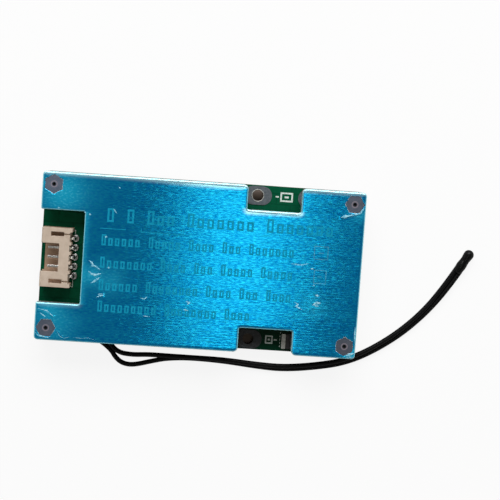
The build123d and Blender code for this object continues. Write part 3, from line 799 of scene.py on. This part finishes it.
# Each row: first x, middle y, pitch, frame height, line width, frames in each group.
print_rows = [
    (-20.0, 8.9, 2.08, 2.0, 0.42, (1, 1, 3, 7, 7)),
    (-20.9, 3.8, 1.4, 1.6, 0.33, (6, 5, 4, 3, 7)),
    (-20.9, -0.9, 1.4, 1.6, 0.33, (8, 4, 3, 5, 5)),
    (-20.9, -5.6, 1.4, 1.6, 0.33, (6, 8, 4, 3, 4)),
    (-20.9, -10.1, 1.4, 1.6, 0.33, (9, 8, 4)),
]
frames = [box for row in print_rows for box in row_of_frames(*row)]
frames += [(-21.3, 6.45, -16.0, 6.6), (-12.9, 6.15, -2.6, 6.3), (-12.9, 6.3, -12.75, 7.0)]
ink_frames = bars_mesh("ink_frames", frames)
ticks = frame_boxes(23.5, 3.0, 26.5, 5.8, 0.13) + frame_boxes(23.8, -2.1, 26.4, 0.8, 0.13)
ticks += [(24.5, 4.3, 25.6, 4.45), (24.6, -0.7, 25.5, -0.55)]
tick_boxes = bars_mesh("tick_boxes", ticks)
print("Printed bars:", len(frames) + len(ticks))

# %% Ink
ink, tree, shader = material("worn ink", Roughness=0.55, Specular_IOR_Level=0.0)
wear = grain(tree, (700, 1600, 1), 4.0, 0.3, 0.62)
plug(tree, shader.inputs["Base Color"], blend(tree, wear, (0.003, 0.28, 0.46, 1),
                                              (0.014, 0.38, 0.60, 1)))
plug(tree, shader.inputs["Alpha"], ramp(tree, grain(tree, (110, 130, 1), 1.0, 0.3, 0.7),
                                        0.0, 1.0, 0.85, 1.0))
pale_ink, tree, shader = material("pale ink", Roughness=0.5, Specular_IOR_Level=0.0)
wear = grain(tree, (700, 1600, 1), 4.0, 0.3, 0.62)
plug(tree, shader.inputs["Base Color"], blend(tree, wear, (0.04, 0.33, 0.52, 1),
                                              (0.14, 0.46, 0.62, 1)))
plug(tree, shader.inputs["Alpha"], ramp(tree, wear, 0.0, 1.0, 0.5, 0.9))
for piece, finish in ((ink_frames, ink), (tick_boxes, pale_ink)):
    piece.data.materials.append(finish)
    print(piece.name, "has the finish", finish.name)

# %% [markdown]
# ## Scuffs on the film
# Knocks and the edge of a tool have lifted small slivers of the film, which look almost
# white. They could be painted as a mask, but a sliver stands up and throws a small shadow.
# So each is a narrow ribbon along a short broken line, wide in its middle, thin at its ends
# and arched across.

# %% Ribbons
def ribbon_mesh(name, strokes, across=4):
    """Arched ribbons along broken lines. A ribbon's half width follows half a sine wave with
    a small ripple along the line; its height over the film follows a parabola across it."""
    points, faces, start = [], [], 0
    for line, width, lift in strokes:
        line = np.array(line, float)
        run = np.concatenate([[0], np.cumsum(np.hypot(*np.diff(line, axis=0).T))])
        at = np.linspace(0, run[-1], max(6, math.ceil(run[-1] / 0.12)))
        x, y = np.interp(at, run, line[:, 0]), np.interp(at, run, line[:, 1])
        way_x, way_y = np.gradient(x), np.gradient(y)
        half = width / 2 * (0.15 + np.sin(np.pi * at / run[-1])) * (1 + 0.35 * np.sin(at * 17))
        half /= np.hypot(way_x, way_y)
        side = np.linspace(-1, 1, across)
        wide_x = x[:, None] - (way_y * half)[:, None] * side
        wide_y = y[:, None] + (way_x * half)[:, None] * side
        z = film_height(wide_x, wide_y) + ink_rise + lift * (1 - side ** 2)
        number = start + np.arange(z.size).reshape(z.shape)
        points.append(np.column_stack([wide_x.ravel(), wide_y.ravel(), z.ravel()]) * mm)
        faces.append(np.stack([number[:-1, :-1], number[1:, :-1], number[1:, 1:],
                               number[:-1, 1:]], -1).reshape(-1, 4))
        start += z.size
    return mesh_piece(name, np.concatenate(points), np.concatenate(faces))


# %% Slivers
# Each sliver: its line in mm, its width and how far its middle is lifted.
slivers = [
    ([(-23.2, -2.6), (-22.5, -3.1), (-21.7, -3.3), (-20.5, -2.9)], 0.4, 0.03),
    ([(-22.6, -5.1), (-21.7, -4.5), (-20.7, -3.7)], 0.35, 0.03),
    ([(-22.9, -1.5), (-21.9, -1.4), (-20.8, -2.2)], 0.28, 0.03),
    ([(-23.3, -0.3), (-22.6, -0.8), (-22.1, -1.5)], 0.3, 0.03),
    ([(-19.9, 5.0), (-20.1, 4.5)], 0.24, 0.02), ([(-20.2, 4.9), (-19.8, 4.6)], 0.22, 0.02),
    ([(-18.8, 10.7), (-18.1, 9.8)], 0.16, 0.02), ([(-19.2, -1.5), (-18.9, -1.7)], 0.28, 0.02),
    ([(-12.1, -7.5), (-11.3, -7.7), (-10.6, -7.1)], 0.2, 0.02),
    ([(-21.0, -7.3), (-19.7, -7.1)], 0.16, 0.02), ([(-3.0, -9.35), (-2.0, -9.5)], 0.28, 0.02),
    ([(-2.6, -7.6), (-1.8, -7.8), (-2.3, -8.3)], 0.25, 0.02),
    ([(-11.6, -11.2), (-9.8, -11.3)], 0.12, 0.01),
    ([(18.8, 1.75), (21.0, 1.6), (22.5, 2.0)], 0.2, 0.02), ([(23.0, 0.95), (23.6, 1.0)], 0.3, 0.02),
    ([(23.8, -2.45), (24.2, -2.6)], 0.28, 0.02), ([(24.45, -4.5), (25.2, -4.7)], 0.42, 0.03),
    ([(20.2, -6.3), (21.0, -6.8), (20.5, -7.1), (21.9, -7.8)], 0.3, 0.03),
    ([(24.0, -6.7), (24.7, -6.1), (25.8, -6.2)], 0.4, 0.03),
    ([(24.2, -6.6), (25.3, -6.8)], 0.35, 0.03),
    ([(28.6, 12.1), (29.6, 12.35), (30.5, 12.65), (31.5, 12.95), (32.6, 13.2), (33.2, 13.9)],
     0.32, 0.03),
    ([(28.8, 12.2), (30.2, 12.55)], 0.55, 0.03), ([(32.6, 13.3), (33.3, 14.4)], 0.25, 0.02),
    ([(-29.1, -15.4), (-28.3, -16.6), (-27.5, -16.95), (-26.1, -16.65)], 0.08, 0.01),
    ([(-25.4, -16.65), (-23.7, -16.75), (-22.4, -16.55), (-20.9, -16.95)], 0.06, 0.01),
    ([(-21.2, -7.95), (-20.5, -7.6), (-19.6, -7.35)], 0.2, 0.02),
    ([(31.7, -17.0), (32.7, -16.6), (33.5, -16.3)], 0.45, 0.03),
    ([(32.0, -17.35), (33.2, -17.1)], 0.35, 0.03), ([(33.35, -10.7), (33.4, -14.0)], 0.22, 0.01),
    ([(-25.0, 9.95), (-24.4, 9.3)], 0.3, 0.02), ([(-23.8, 9.3), (-23.4, 9.1)], 0.3, 0.02),
    ([(-33.2, -11.0), (-31.3, -11.4), (-29.9, -12.5)], 0.2, 0.02),
    ([(-32.7, -11.9), (-31.4, -12.8)], 0.18, 0.02),
    ([(-33.4, -16.0), (-33.0, -16.6), (-30.5, -17.1)], 0.25, 0.02),
    ([(-18.0, 15.2), (-17.6, 15.0)], 0.2, 0.02), ([(-30.3, 10.2), (-29.9, 10.1)], 0.25, 0.02),
]
lifted_slivers = ribbon_mesh("lifted_slivers", slivers)
print("Slivers:", len(slivers))

# %% Torn film
torn_film, tree, shader = material("torn film", Roughness=0.5, Specular_IOR_Level=0.05)
shade = grain(tree, (1800, 2600, 1), 3.0, 0.36, 0.58)
plug(tree, shader.inputs["Base Color"], blend(tree, shade, (0.05, 0.46, 0.70, 1),
                                              (0.42, 0.80, 0.95, 1)))
plug(tree, shader.inputs["Alpha"], ramp(tree, shade, 0.0, 0.6, 0.55, 1.0))
lifted_slivers.data.materials.append(torn_film)
print("Sliver finish:", torn_film.name)

# %% [markdown]
# ## The print on the circuit board
# White paint on the board marks where its parts go: a frame and a dash beside each power pad,
# corners round the connector and a broken line beside the shunt. On the back there are frames
# round the larger parts and rows of short bars. As on the film, each is a thin sheet, because
# screen-printed paint stands proud of the solder mask.

# %% Front print
board_top = 3.2
board_bottom = 1.6


def level_of_board(x, y):
    """The board's top, the same everywhere."""
    return np.full(np.shape(x), board_top)


white_boxes = frame_boxes(16.0, 14.4, 18.7, 16.4, 0.34) + [(16.9, 15.2, 17.8, 15.6)]
white_boxes += frame_boxes(14.9, -16.2, 16.55, -14.4, 0.3) + [(15.5, -15.5, 15.95, -15.1)]
white_boxes += [(15.0, 15.25, 15.65, 15.55), (16.8, -15.45, 17.5, -15.15)]
white_boxes += [(-27.4, 5.3, -26.75, 5.43), (-26.88, 4.5, -26.75, 5.3),
                (-26.88, -6.75, -26.75, -5.3), (-27.55, -6.75, -26.88, -6.62)]
white_boxes += [(18.05, -13.9 - step, 18.17, -13.5 - step) for step in np.arange(5) * 0.72]
board_print = bars_mesh("board_print", white_boxes, level_of_board)
print("Front bars:", len(white_boxes))


# %% Back print
def level_of_back(x, y):
    """The board's underside, less the ink's rise twice, as the bars lie below it."""
    return np.full(np.shape(x), board_bottom - 2 * ink_rise)


back_boxes = frame_boxes(-30.2, -7.2, -25.2, 6.6, 0.16) + frame_boxes(-21.0, 5.0, -9.0, 13.5, 0.16)
back_boxes += frame_boxes(-6.2, -3.2, 4.5, 4.2, 0.16) + frame_boxes(21.0, -6.5, 29.5, 6.5, 0.16)
back_boxes += [(-24.9 + step, -13.2, -24.5 + step, -12.2) for step in np.arange(9) * 0.8]
back_boxes += [(12.6 + step, -11.2, 13.0 + step, -10.2) for step in np.arange(5) * 0.8]
back_print = bars_mesh("back_print", back_boxes, level_of_back)
back_print.data.flip_normals()
print("Back bars:", len(back_boxes))

# %% White paint
white_ink, tree, shader = material("white board print", Roughness=0.6, Specular_IOR_Level=0.2)
wear = grain(tree, (3000, 3000, 3000), 3.0, 0.3, 0.6)
plug(tree, shader.inputs["Base Color"], blend(tree, wear, (0.45, 0.55, 0.50, 1),
                                              (0.80, 0.88, 0.84, 1)))
for piece in (board_print, back_print):
    piece.data.materials.append(white_ink)
print("Paint:", white_ink.name)

# %% [markdown]
# ## Finishes of the CAD parts
# Most parts of the board are metal, plastic or ceramic in one colour. A single flat colour
# would look like a toy, so each has soft blotches between two near colours, a roughness that
# follows them, rounded edges and a fine bump. One helper makes them all, and the finishes
# that need more start from it. The colours are written as linear values.

# %% A plain finish
def simple(name, low, high, roughness, metallic=0.0, scale=1500, height=0.0, radius=0.00006):
    """A finish with soft blotches between two colours, rounded edges and a fine bump."""
    made, tree, shader = material(name, Metallic=metallic)
    shade = grain(tree, (scale, scale, scale), 4.0, 0.3, 0.7)
    plug(tree, shader.inputs["Base Color"], blend(tree, shade, (*low, 1), (*high, 1)))
    rough = ramp(tree, shade, 0.0, 1.0, roughness * 0.85, roughness * 1.2)
    plug(tree, shader.inputs["Roughness"], rough)
    fine = grain(tree, (scale * 4,) * 3, 3.0)
    bump(tree, shader, fine, height, rounded_edges(tree, radius))
    print("Finish:", name)
    return made


# %% [markdown]
# ## The heat plate's cut edge
# The film covers the plate's face, so bare metal shows only at its edges, which were sheared
# in a press. A sheared edge has two zones: bright and smooth where the blade cut, then dull
# where the metal broke off. The height decides which zone a point is in, and noise makes the
# border ragged.

# %% Sheared aluminium
def plate_finish():
    """Sheared aluminium. Down each edge run short shear marks, bright in the upper third,
    where the blade cut, and duller below, where the metal broke off."""
    made, tree, shader = material("sheared aluminium", Metallic=1.0)
    height_up = add(tree, "SeparateXYZ", Vector=add(tree, "TexCoord").outputs["Object"])
    ragged = calc(tree, "MULTIPLY_ADD", grain(tree, (1500, 1500, 200), 3.0), 0.0005,
                  height_up.outputs["Z"])
    cut_zone = ramp(tree, ragged, 0.0080, 0.0083)
    marks = grain(tree, (5200, 5200, 350), 3.0, 0.3, 0.7)
    shade = calc(tree, "ADD", calc(tree, "MULTIPLY", marks, 0.6),
                 calc(tree, "MULTIPLY", cut_zone, 0.4))
    plug(tree, shader.inputs["Base Color"], blend(tree, shade, (0.55, 0.55, 0.56, 1),
                                                  (0.86, 0.86, 0.87, 1)))
    plug(tree, shader.inputs["Roughness"], ramp(tree, cut_zone, 0.0, 1.0, 0.48, 0.25))
    bump(tree, shader, marks, 0.00001, rounded_edges(tree, 0.00006))
    print("Finish:", made.name)
    return made


aluminium = plate_finish()

# %% [markdown]
# ## Screws and leads
# The screws are nickel plated and the leads of the small parts are tinned. Both are bright
# metals that differ in tone: nickel is a little bluer, tin a little warmer.

# %% Nickel and tin
steel = simple("nickel plated steel", (0.42, 0.46, 0.52), (0.52, 0.56, 0.62), 0.2, 1.0,
               2500, 0.000002)
tin = simple("bright tin", (0.62, 0.61, 0.60), (0.78, 0.77, 0.75), 0.2, 1.0, 2500, 0.000002)

# %% [markdown]
# ## The standoffs
# The blind end of a standoff was turned on a lathe, which leaves fine rings and a small centre
# hole. The rings could be modelled, but they are only a few thousandths of a millimetre deep.
# So they are a sine of the distance from the axis, in the colour and in the bump. All four
# axes lie the same way from the board's middle, so absolute X and Y find the nearest one.

# %% Turned nickel
ring_pitch = 0.0003
standoff_x, standoff_y = 0.03135, 0.015


def turned_finish():
    """The end face of a standoff: fine turned rings round the centre, a centre hole painted near
    black as painted shade, and a paler ring round it. The standoffs towards +X and -Y are painted
    darker, as painted shade. The radius is the length from the nearest standoff's axis."""
    made, tree, shader = material("turned dark nickel", Metallic=0.3)
    place = add(tree, "SeparateXYZ", Vector=add(tree, "TexCoord").outputs["Object"])
    off_x = calc(tree, "SUBTRACT", calc(tree, "ABSOLUTE", place.outputs["X"]), standoff_x)
    off_y = calc(tree, "SUBTRACT", calc(tree, "ABSOLUTE", place.outputs["Y"]), standoff_y)
    radius = calc(tree, "SQRT", calc(tree, "ADD", calc(tree, "MULTIPLY", off_x, off_x),
                                     calc(tree, "MULTIPLY", off_y, off_y)))
    rings = calc(tree, "SINE", calc(tree, "MULTIPLY", radius, 2 * math.pi / ring_pitch))
    shade = grain(tree, (700, 700, 700), 3.0, 0.3, 0.7)
    shade = calc(tree, "ADD", calc(tree, "MULTIPLY", shade, 0.6),
                 calc(tree, "MULTIPLY", rings, 0.25))
    colour = blend(tree, shade, (0.095, 0.125, 0.18, 1), (0.17, 0.20, 0.27, 1))
    # Painted shade: the standoffs towards +X and towards -Y are painted darker and browner, and the
    # one at +X and -Y is darkest.
    side = calc(tree, "MULTIPLY", ramp(tree, place.outputs["X"], -0.02, 0.02, 1.0, 0.72),
                ramp(tree, place.outputs["Y"], -0.01, 0.01, 0.74, 1.0))
    colour = blend(tree, side, (0.03, 0.02, 0.02, 1), colour)
    ring = calc(tree, "MULTIPLY", ramp(tree, radius, 0.00045, 0.0006),
                ramp(tree, radius, 0.00062, 0.0008, 1.0, 0.0))
    colour = blend(tree, calc(tree, "MULTIPLY", ring, 0.6), colour, (0.42, 0.33, 0.38, 1))
    # Painted shade: the centre hole is painted near black.
    hole = ramp(tree, radius, 0.00036, 0.00044, 1.0, 0.0)
    plug(tree, shader.inputs["Base Color"], blend(tree, hole, colour, (0.002, 0.001, 0.002, 1)))
    plug(tree, shader.inputs["Roughness"], ramp(tree, hole, 0.0, 1.0, 0.42, 0.9))
    bump(tree, shader, rings, 0.000004, rounded_edges(tree, 0.00008))
    print("Finish:", made.name)
    return made


turned = turned_finish()

# %% [markdown]
# ## Solder
# Fresh solder is a bright metal with a soft surface. At the connector each joint is bright round
# the outside, and its middle is painted near black, a painted shade. The joints stand 2 mm apart,
# so the fraction of Y over 2 mm gives the place along a joint, and no joint needs its own finish.

# %% Solder and joints
joint_row_x = 0.0267
joint_pitch = 0.002
joint_shift = 0.65
solder = simple("solder", (0.42, 0.43, 0.43), (0.62, 0.62, 0.61), 0.3, 1.0, 2500, 0.000002)


def joint_finish():
    """The joints at the connector's pins: bright round the outside, with painted shade in the
    middle, which is near black and not metallic. The pins stand 2 mm apart, so the distance along
    the row repeats."""
    made = simple("connector joints", (0.42, 0.43, 0.43), (0.66, 0.66, 0.65), 0.28, 1.0, 2500,
                  0.000002)
    tree = made.node_tree
    shader = tree.nodes["Principled BSDF"]
    bright = shader.inputs["Base Color"].links[0].from_socket
    place = add(tree, "SeparateXYZ", Vector=add(tree, "TexCoord").outputs["Object"])
    off_x = calc(tree, "ADD", place.outputs["X"], joint_row_x)
    off_y = calc(tree, "SUBTRACT", calc(tree, "FRACT", calc(
        tree, "MULTIPLY_ADD", place.outputs["Y"], 1 / joint_pitch, joint_shift)), 0.5)
    off_y = calc(tree, "MULTIPLY", off_y, joint_pitch)
    radius = calc(tree, "SQRT", calc(tree, "ADD", calc(tree, "MULTIPLY", off_x, off_x),
                                     calc(tree, "MULTIPLY", off_y, off_y)))
    # Painted shade: the middle of each joint gets a near-black colour.
    middle = ramp(tree, radius, 0.00034, 0.00042, 1.0, 0.0)
    plug(tree, shader.inputs["Base Color"], blend(tree, middle, bright, (0.015, 0.012, 0.010, 1)))
    plug(tree, shader.inputs["Metallic"], ramp(tree, middle, 0.0, 1.0, 1.0, 0.0))
    return made


joint = joint_finish()

# %% [markdown]
# ## Plastic and ceramic
# Chips and transistors are moulded in black epoxy with a fine matt skin. The connector is
# natural nylon. Light gets a little way into it, which subsurface scattering could show, but
# the housing is small and its depth matters more. So it is cream on top and browner the
# deeper a face lies, where it gets less light. The capacitors are tan ceramic.

# %% Moulding compound, nylon and ceramic
mould = simple("black moulding compound", (0.012, 0.012, 0.013), (0.022, 0.022, 0.023), 0.5,
               0.0, 3000, 0.00001)


def nylon_finish():
    """Natural nylon: cream where light falls on it, and browner the deeper a face lies."""
    made = simple("natural nylon", (0.58, 0.46, 0.36), (0.70, 0.57, 0.46), 0.45, 0.0, 700,
                  0.000006, 0.00015)
    tree = made.node_tree
    shader = tree.nodes["Principled BSDF"]
    cream = shader.inputs["Base Color"].links[0].from_socket
    place = add(tree, "SeparateXYZ", Vector=add(tree, "TexCoord").outputs["Object"])
    deep = ramp(tree, place.outputs["Z"], 0.0045, 0.0078, 0.62, 0.0)
    plug(tree, shader.inputs["Base Color"], blend(tree, deep, cream, (0.38, 0.20, 0.10, 1)))
    return made


nylon = nylon_finish()
ceramic = simple("tan ceramic", (0.30, 0.20, 0.12), (0.40, 0.28, 0.17), 0.5, 0.0, 2500)

# %% [markdown]
# ## The circuit board
# A board is glass fibre laminate under green solder mask. The copper under the mask shows as
# lighter fields, and it could be drawn track by track. Most of it lies under the plate, so a
# brick pattern gives the fields and the gaps between them. The side of the board is found by
# its normal, which lies flat, and shows the bare laminate.

# %% Solder mask
def mask_finish():
    """Green solder mask. Copper under it shows as lighter fields between narrow dark gaps, which
    come from a brick pattern drawn out along the board. Along the lower edge it is painted darker,
    as painted shade. The cut edge, which faces sideways, shows the layers of bare laminate."""
    made = simple("green solder mask", (0.0003, 0.058, 0.025), (0.0015, 0.080, 0.038), 0.35,
                  0.0, 900)
    tree = made.node_tree
    shader = tree.nodes["Principled BSDF"]
    shader.inputs["Specular IOR Level"].default_value = 0.04
    green = shader.inputs["Base Color"].links[0].from_socket
    place = add(tree, "TexCoord").outputs["Object"]
    fields = add(tree, "TexBrick", Vector=place, Scale=1.0, Mortar_Size=0.00016, Brick_Width=0.0061,
                 Row_Height=0.0023, Color1=(1, 1, 1, 1), Color2=(0.55, 0.55, 0.55, 1),
                 Mortar=(0, 0, 0, 1))
    copper = calc(tree, "MULTIPLY", fields.outputs["Color"], 0.4)
    green = blend(tree, copper, green, (0.002, 0.125, 0.055, 1))
    apart = add(tree, "SeparateXYZ", Vector=place)
    # Painted shade: the mask near the lower edge, where Y is below -11.5 mm, is painted darker.
    painted_shade_low_edge = ramp(tree, apart.outputs["Y"], -0.0135, -0.0115, 0.65, 0.0)
    green = blend(tree, painted_shade_low_edge, green, (0.0003, 0.012, 0.006, 1))
    upward = add(tree, "SeparateXYZ", Vector=add(tree, "NewGeometry").outputs["True Normal"])
    side = ramp(tree, calc(tree, "ABSOLUTE", upward.outputs["Z"]), 0.3, 0.6, 1.0, 0.0)
    layers = grain(tree, (300, 300, 9000), 3.0, 0.35, 0.65)
    laminate = blend(tree, layers, (0.045, 0.055, 0.025, 1), (0.14, 0.14, 0.07, 1))
    plug(tree, shader.inputs["Base Color"], blend(tree, side, green, laminate))
    return made


mask = mask_finish()

# %% [markdown]
# ## Pads, stripes and pins
# The power pads are dull, because their tin has melted and set again, and the lower two are painted
# darker, as painted shade. The walls of their holes face sideways, so the normal finds them, and
# they are painted dark brown, partly as painted shade. The shunt's ends and the rims of the holes
# are a brighter tin, and the pins have rounder edges than the other leads. The thermal pad is soft
# grey silicone.

# %% Tinned pads
def pad_finish():
    """A dull tinned pad. The plating inside the hole, which faces sideways, is painted dark brown,
    partly the plating's own colour and partly painted shade. The two pads at the lower edge, where
    Y is negative, are painted darker all over, in blotches, as painted shade, and their hole walls
    are darker still."""
    made = simple("dull tinned pad", (0.085, 0.105, 0.12), (0.15, 0.17, 0.19), 0.45, 0.25, 2500,
                  0.000004)
    tree = made.node_tree
    shader = tree.nodes["Principled BSDF"]
    shader.inputs["Specular IOR Level"].default_value = 0.1
    tinned = shader.inputs["Base Color"].links[0].from_socket
    upward = add(tree, "SeparateXYZ", Vector=add(tree, "NewGeometry").outputs["True Normal"])
    inside = ramp(tree, calc(tree, "ABSOLUTE", upward.outputs["Z"]), 0.3, 0.6, 1.0, 0.0)
    place = add(tree, "SeparateXYZ", Vector=add(tree, "TexCoord").outputs["Object"])
    # Painted shade: the pads where Y is negative are darkened in blotches.
    lower_pad_shade = ramp(tree, place.outputs["Y"], -0.002, 0.002, 1.0, 0.0)
    lower_pad_shade_blotches = grain(tree, (900, 900, 900), 3.0, 0.3, 0.6)
    lower_pad_shade_blotches = calc(tree, "MULTIPLY", lower_pad_shade, ramp(tree, lower_pad_shade_blotches, 0.0, 1.0, 0.55, 0.8))
    tinned = blend(tree, lower_pad_shade_blotches, tinned, (0.022, 0.018, 0.016, 1))
    # The hole walls are dark brown, and the lower ones are darker: painted shade.
    wall = blend(tree, lower_pad_shade, (0.05, 0.03, 0.022, 1), (0.012, 0.007, 0.005, 1))
    plug(tree, shader.inputs["Base Color"], blend(tree, inside, tinned, wall))
    return made


pad_tin = pad_finish()

# %% Stripes, pins and thermal pad
end_tin = simple("bright end stripe", (0.30, 0.31, 0.29), (0.56, 0.57, 0.54), 0.4, 0.25, 2500)
pin_tin = simple("tinned pins", (0.62, 0.61, 0.60), (0.78, 0.77, 0.75), 0.2, 1.0, 2500, 0.000002,
                 0.0002)
silicone = simple("grey thermal pad", (0.20, 0.22, 0.26), (0.28, 0.30, 0.34), 0.8, 0.0, 1500,
                  0.00002)

# %% [markdown]
# ## Rings of solder
# Solder creeps up round each pin and stands as a low ring round the upper power holes. A
# torus could be added for each, but one function carries a small circle round a larger one
# for all of them at once, and a row of numbers sets each ring.

# %% Rings
def rings_mesh(name, rings, around=28, across=8):
    """Closed ring tubes. Each ring (x, y, z, radius, tube) is a circle carried round a
    larger circle: the radius plus the tube's cosine outwards, and the tube's sine upwards."""
    turn = np.linspace(0, 2 * math.pi, around + 1)[:, None]
    roll_angle = np.linspace(0, 2 * math.pi, across + 1)[None, :]
    points, faces = [], []
    for index, (x, y, z, radius, tube) in enumerate(rings):
        out = radius + tube * np.cos(roll_angle)
        points.append(np.stack([x + out * np.cos(turn), y + out * np.sin(turn),
                                z + tube * np.sin(roll_angle) + 0 * turn], -1).reshape(-1, 3) * mm)
        number = index * turn.size * roll_angle.size
        number = number + np.arange(turn.size * roll_angle.size).reshape(turn.size, -1)
        faces.append(np.stack([number[:-1, :-1], number[1:, :-1], number[1:, 1:],
                               number[:-1, 1:]], -1).reshape(-1, 4))
    return mesh_piece(name, np.concatenate(points), np.concatenate(faces))


joint_places = [(-26.7, y, 3.38, 0.6, 0.2) for y in (-4.3, -2.3, -0.3, 1.7, 3.7)]
joint_rings = rings_mesh("joint_rings", joint_places)
joint_rings.data.materials.append(solder)
pad_places = [(x, 15.4, 3.33, 1.27, 0.1) for x in (11.2, 22.8)]
pad_rings = rings_mesh("pad_rings", pad_places)
pad_rings.data.materials.append(end_tin)
print("Rings:", len(joint_places) + len(pad_places))

# %% [markdown]
# ## Every CAD part gets its finish
# The CAD meshes stay as they are, and only their materials change. A table names the finish
# of each node, so that none is forgotten.

# %% Dressing the nodes
def dress(name, made):
    """Puts a material on a CAD node, whose mesh stays as it is."""
    slots = nodes[name].data.materials
    slots.clear()
    slots.append(made)
    nodes[name].data.polygons.foreach_set(
        "material_index", np.zeros(len(nodes[name].data.polygons), np.int32))
    print(name, "has the finish", made.name)


finishes = {
    "heat_plate": aluminium, "protective_film": blue_film, "standoffs": turned,
    "board_screws": steel, "circuit_board": mask, "power_pads": pad_tin, "shunt_elements": mould,
    "shunt_ends": end_tin, "mosfet_bodies": mould, "mosfet_leads": tin, "thermal_pad": silicone,
    "connector_housing": nylon, "connector_pins": pin_tin, "connector_solder": joint,
    "protection_chip": mould, "protection_chip_leads": tin, "balance_transistors": mould,
    "balance_transistor_leads": tin, "driver_transistors": mould,
    "driver_transistor_leads": tin, "balance_resistors": mould, "balance_resistor_ends": tin,
    "filter_resistors": mould, "filter_resistor_ends": tin, "filter_capacitors": ceramic,
    "filter_capacitor_ends": tin, "back_tracks": solder, "sensor_bead": insulation,
    "sensor_solder": solder,
}
for name, made in finishes.items():
    dress(name, made)
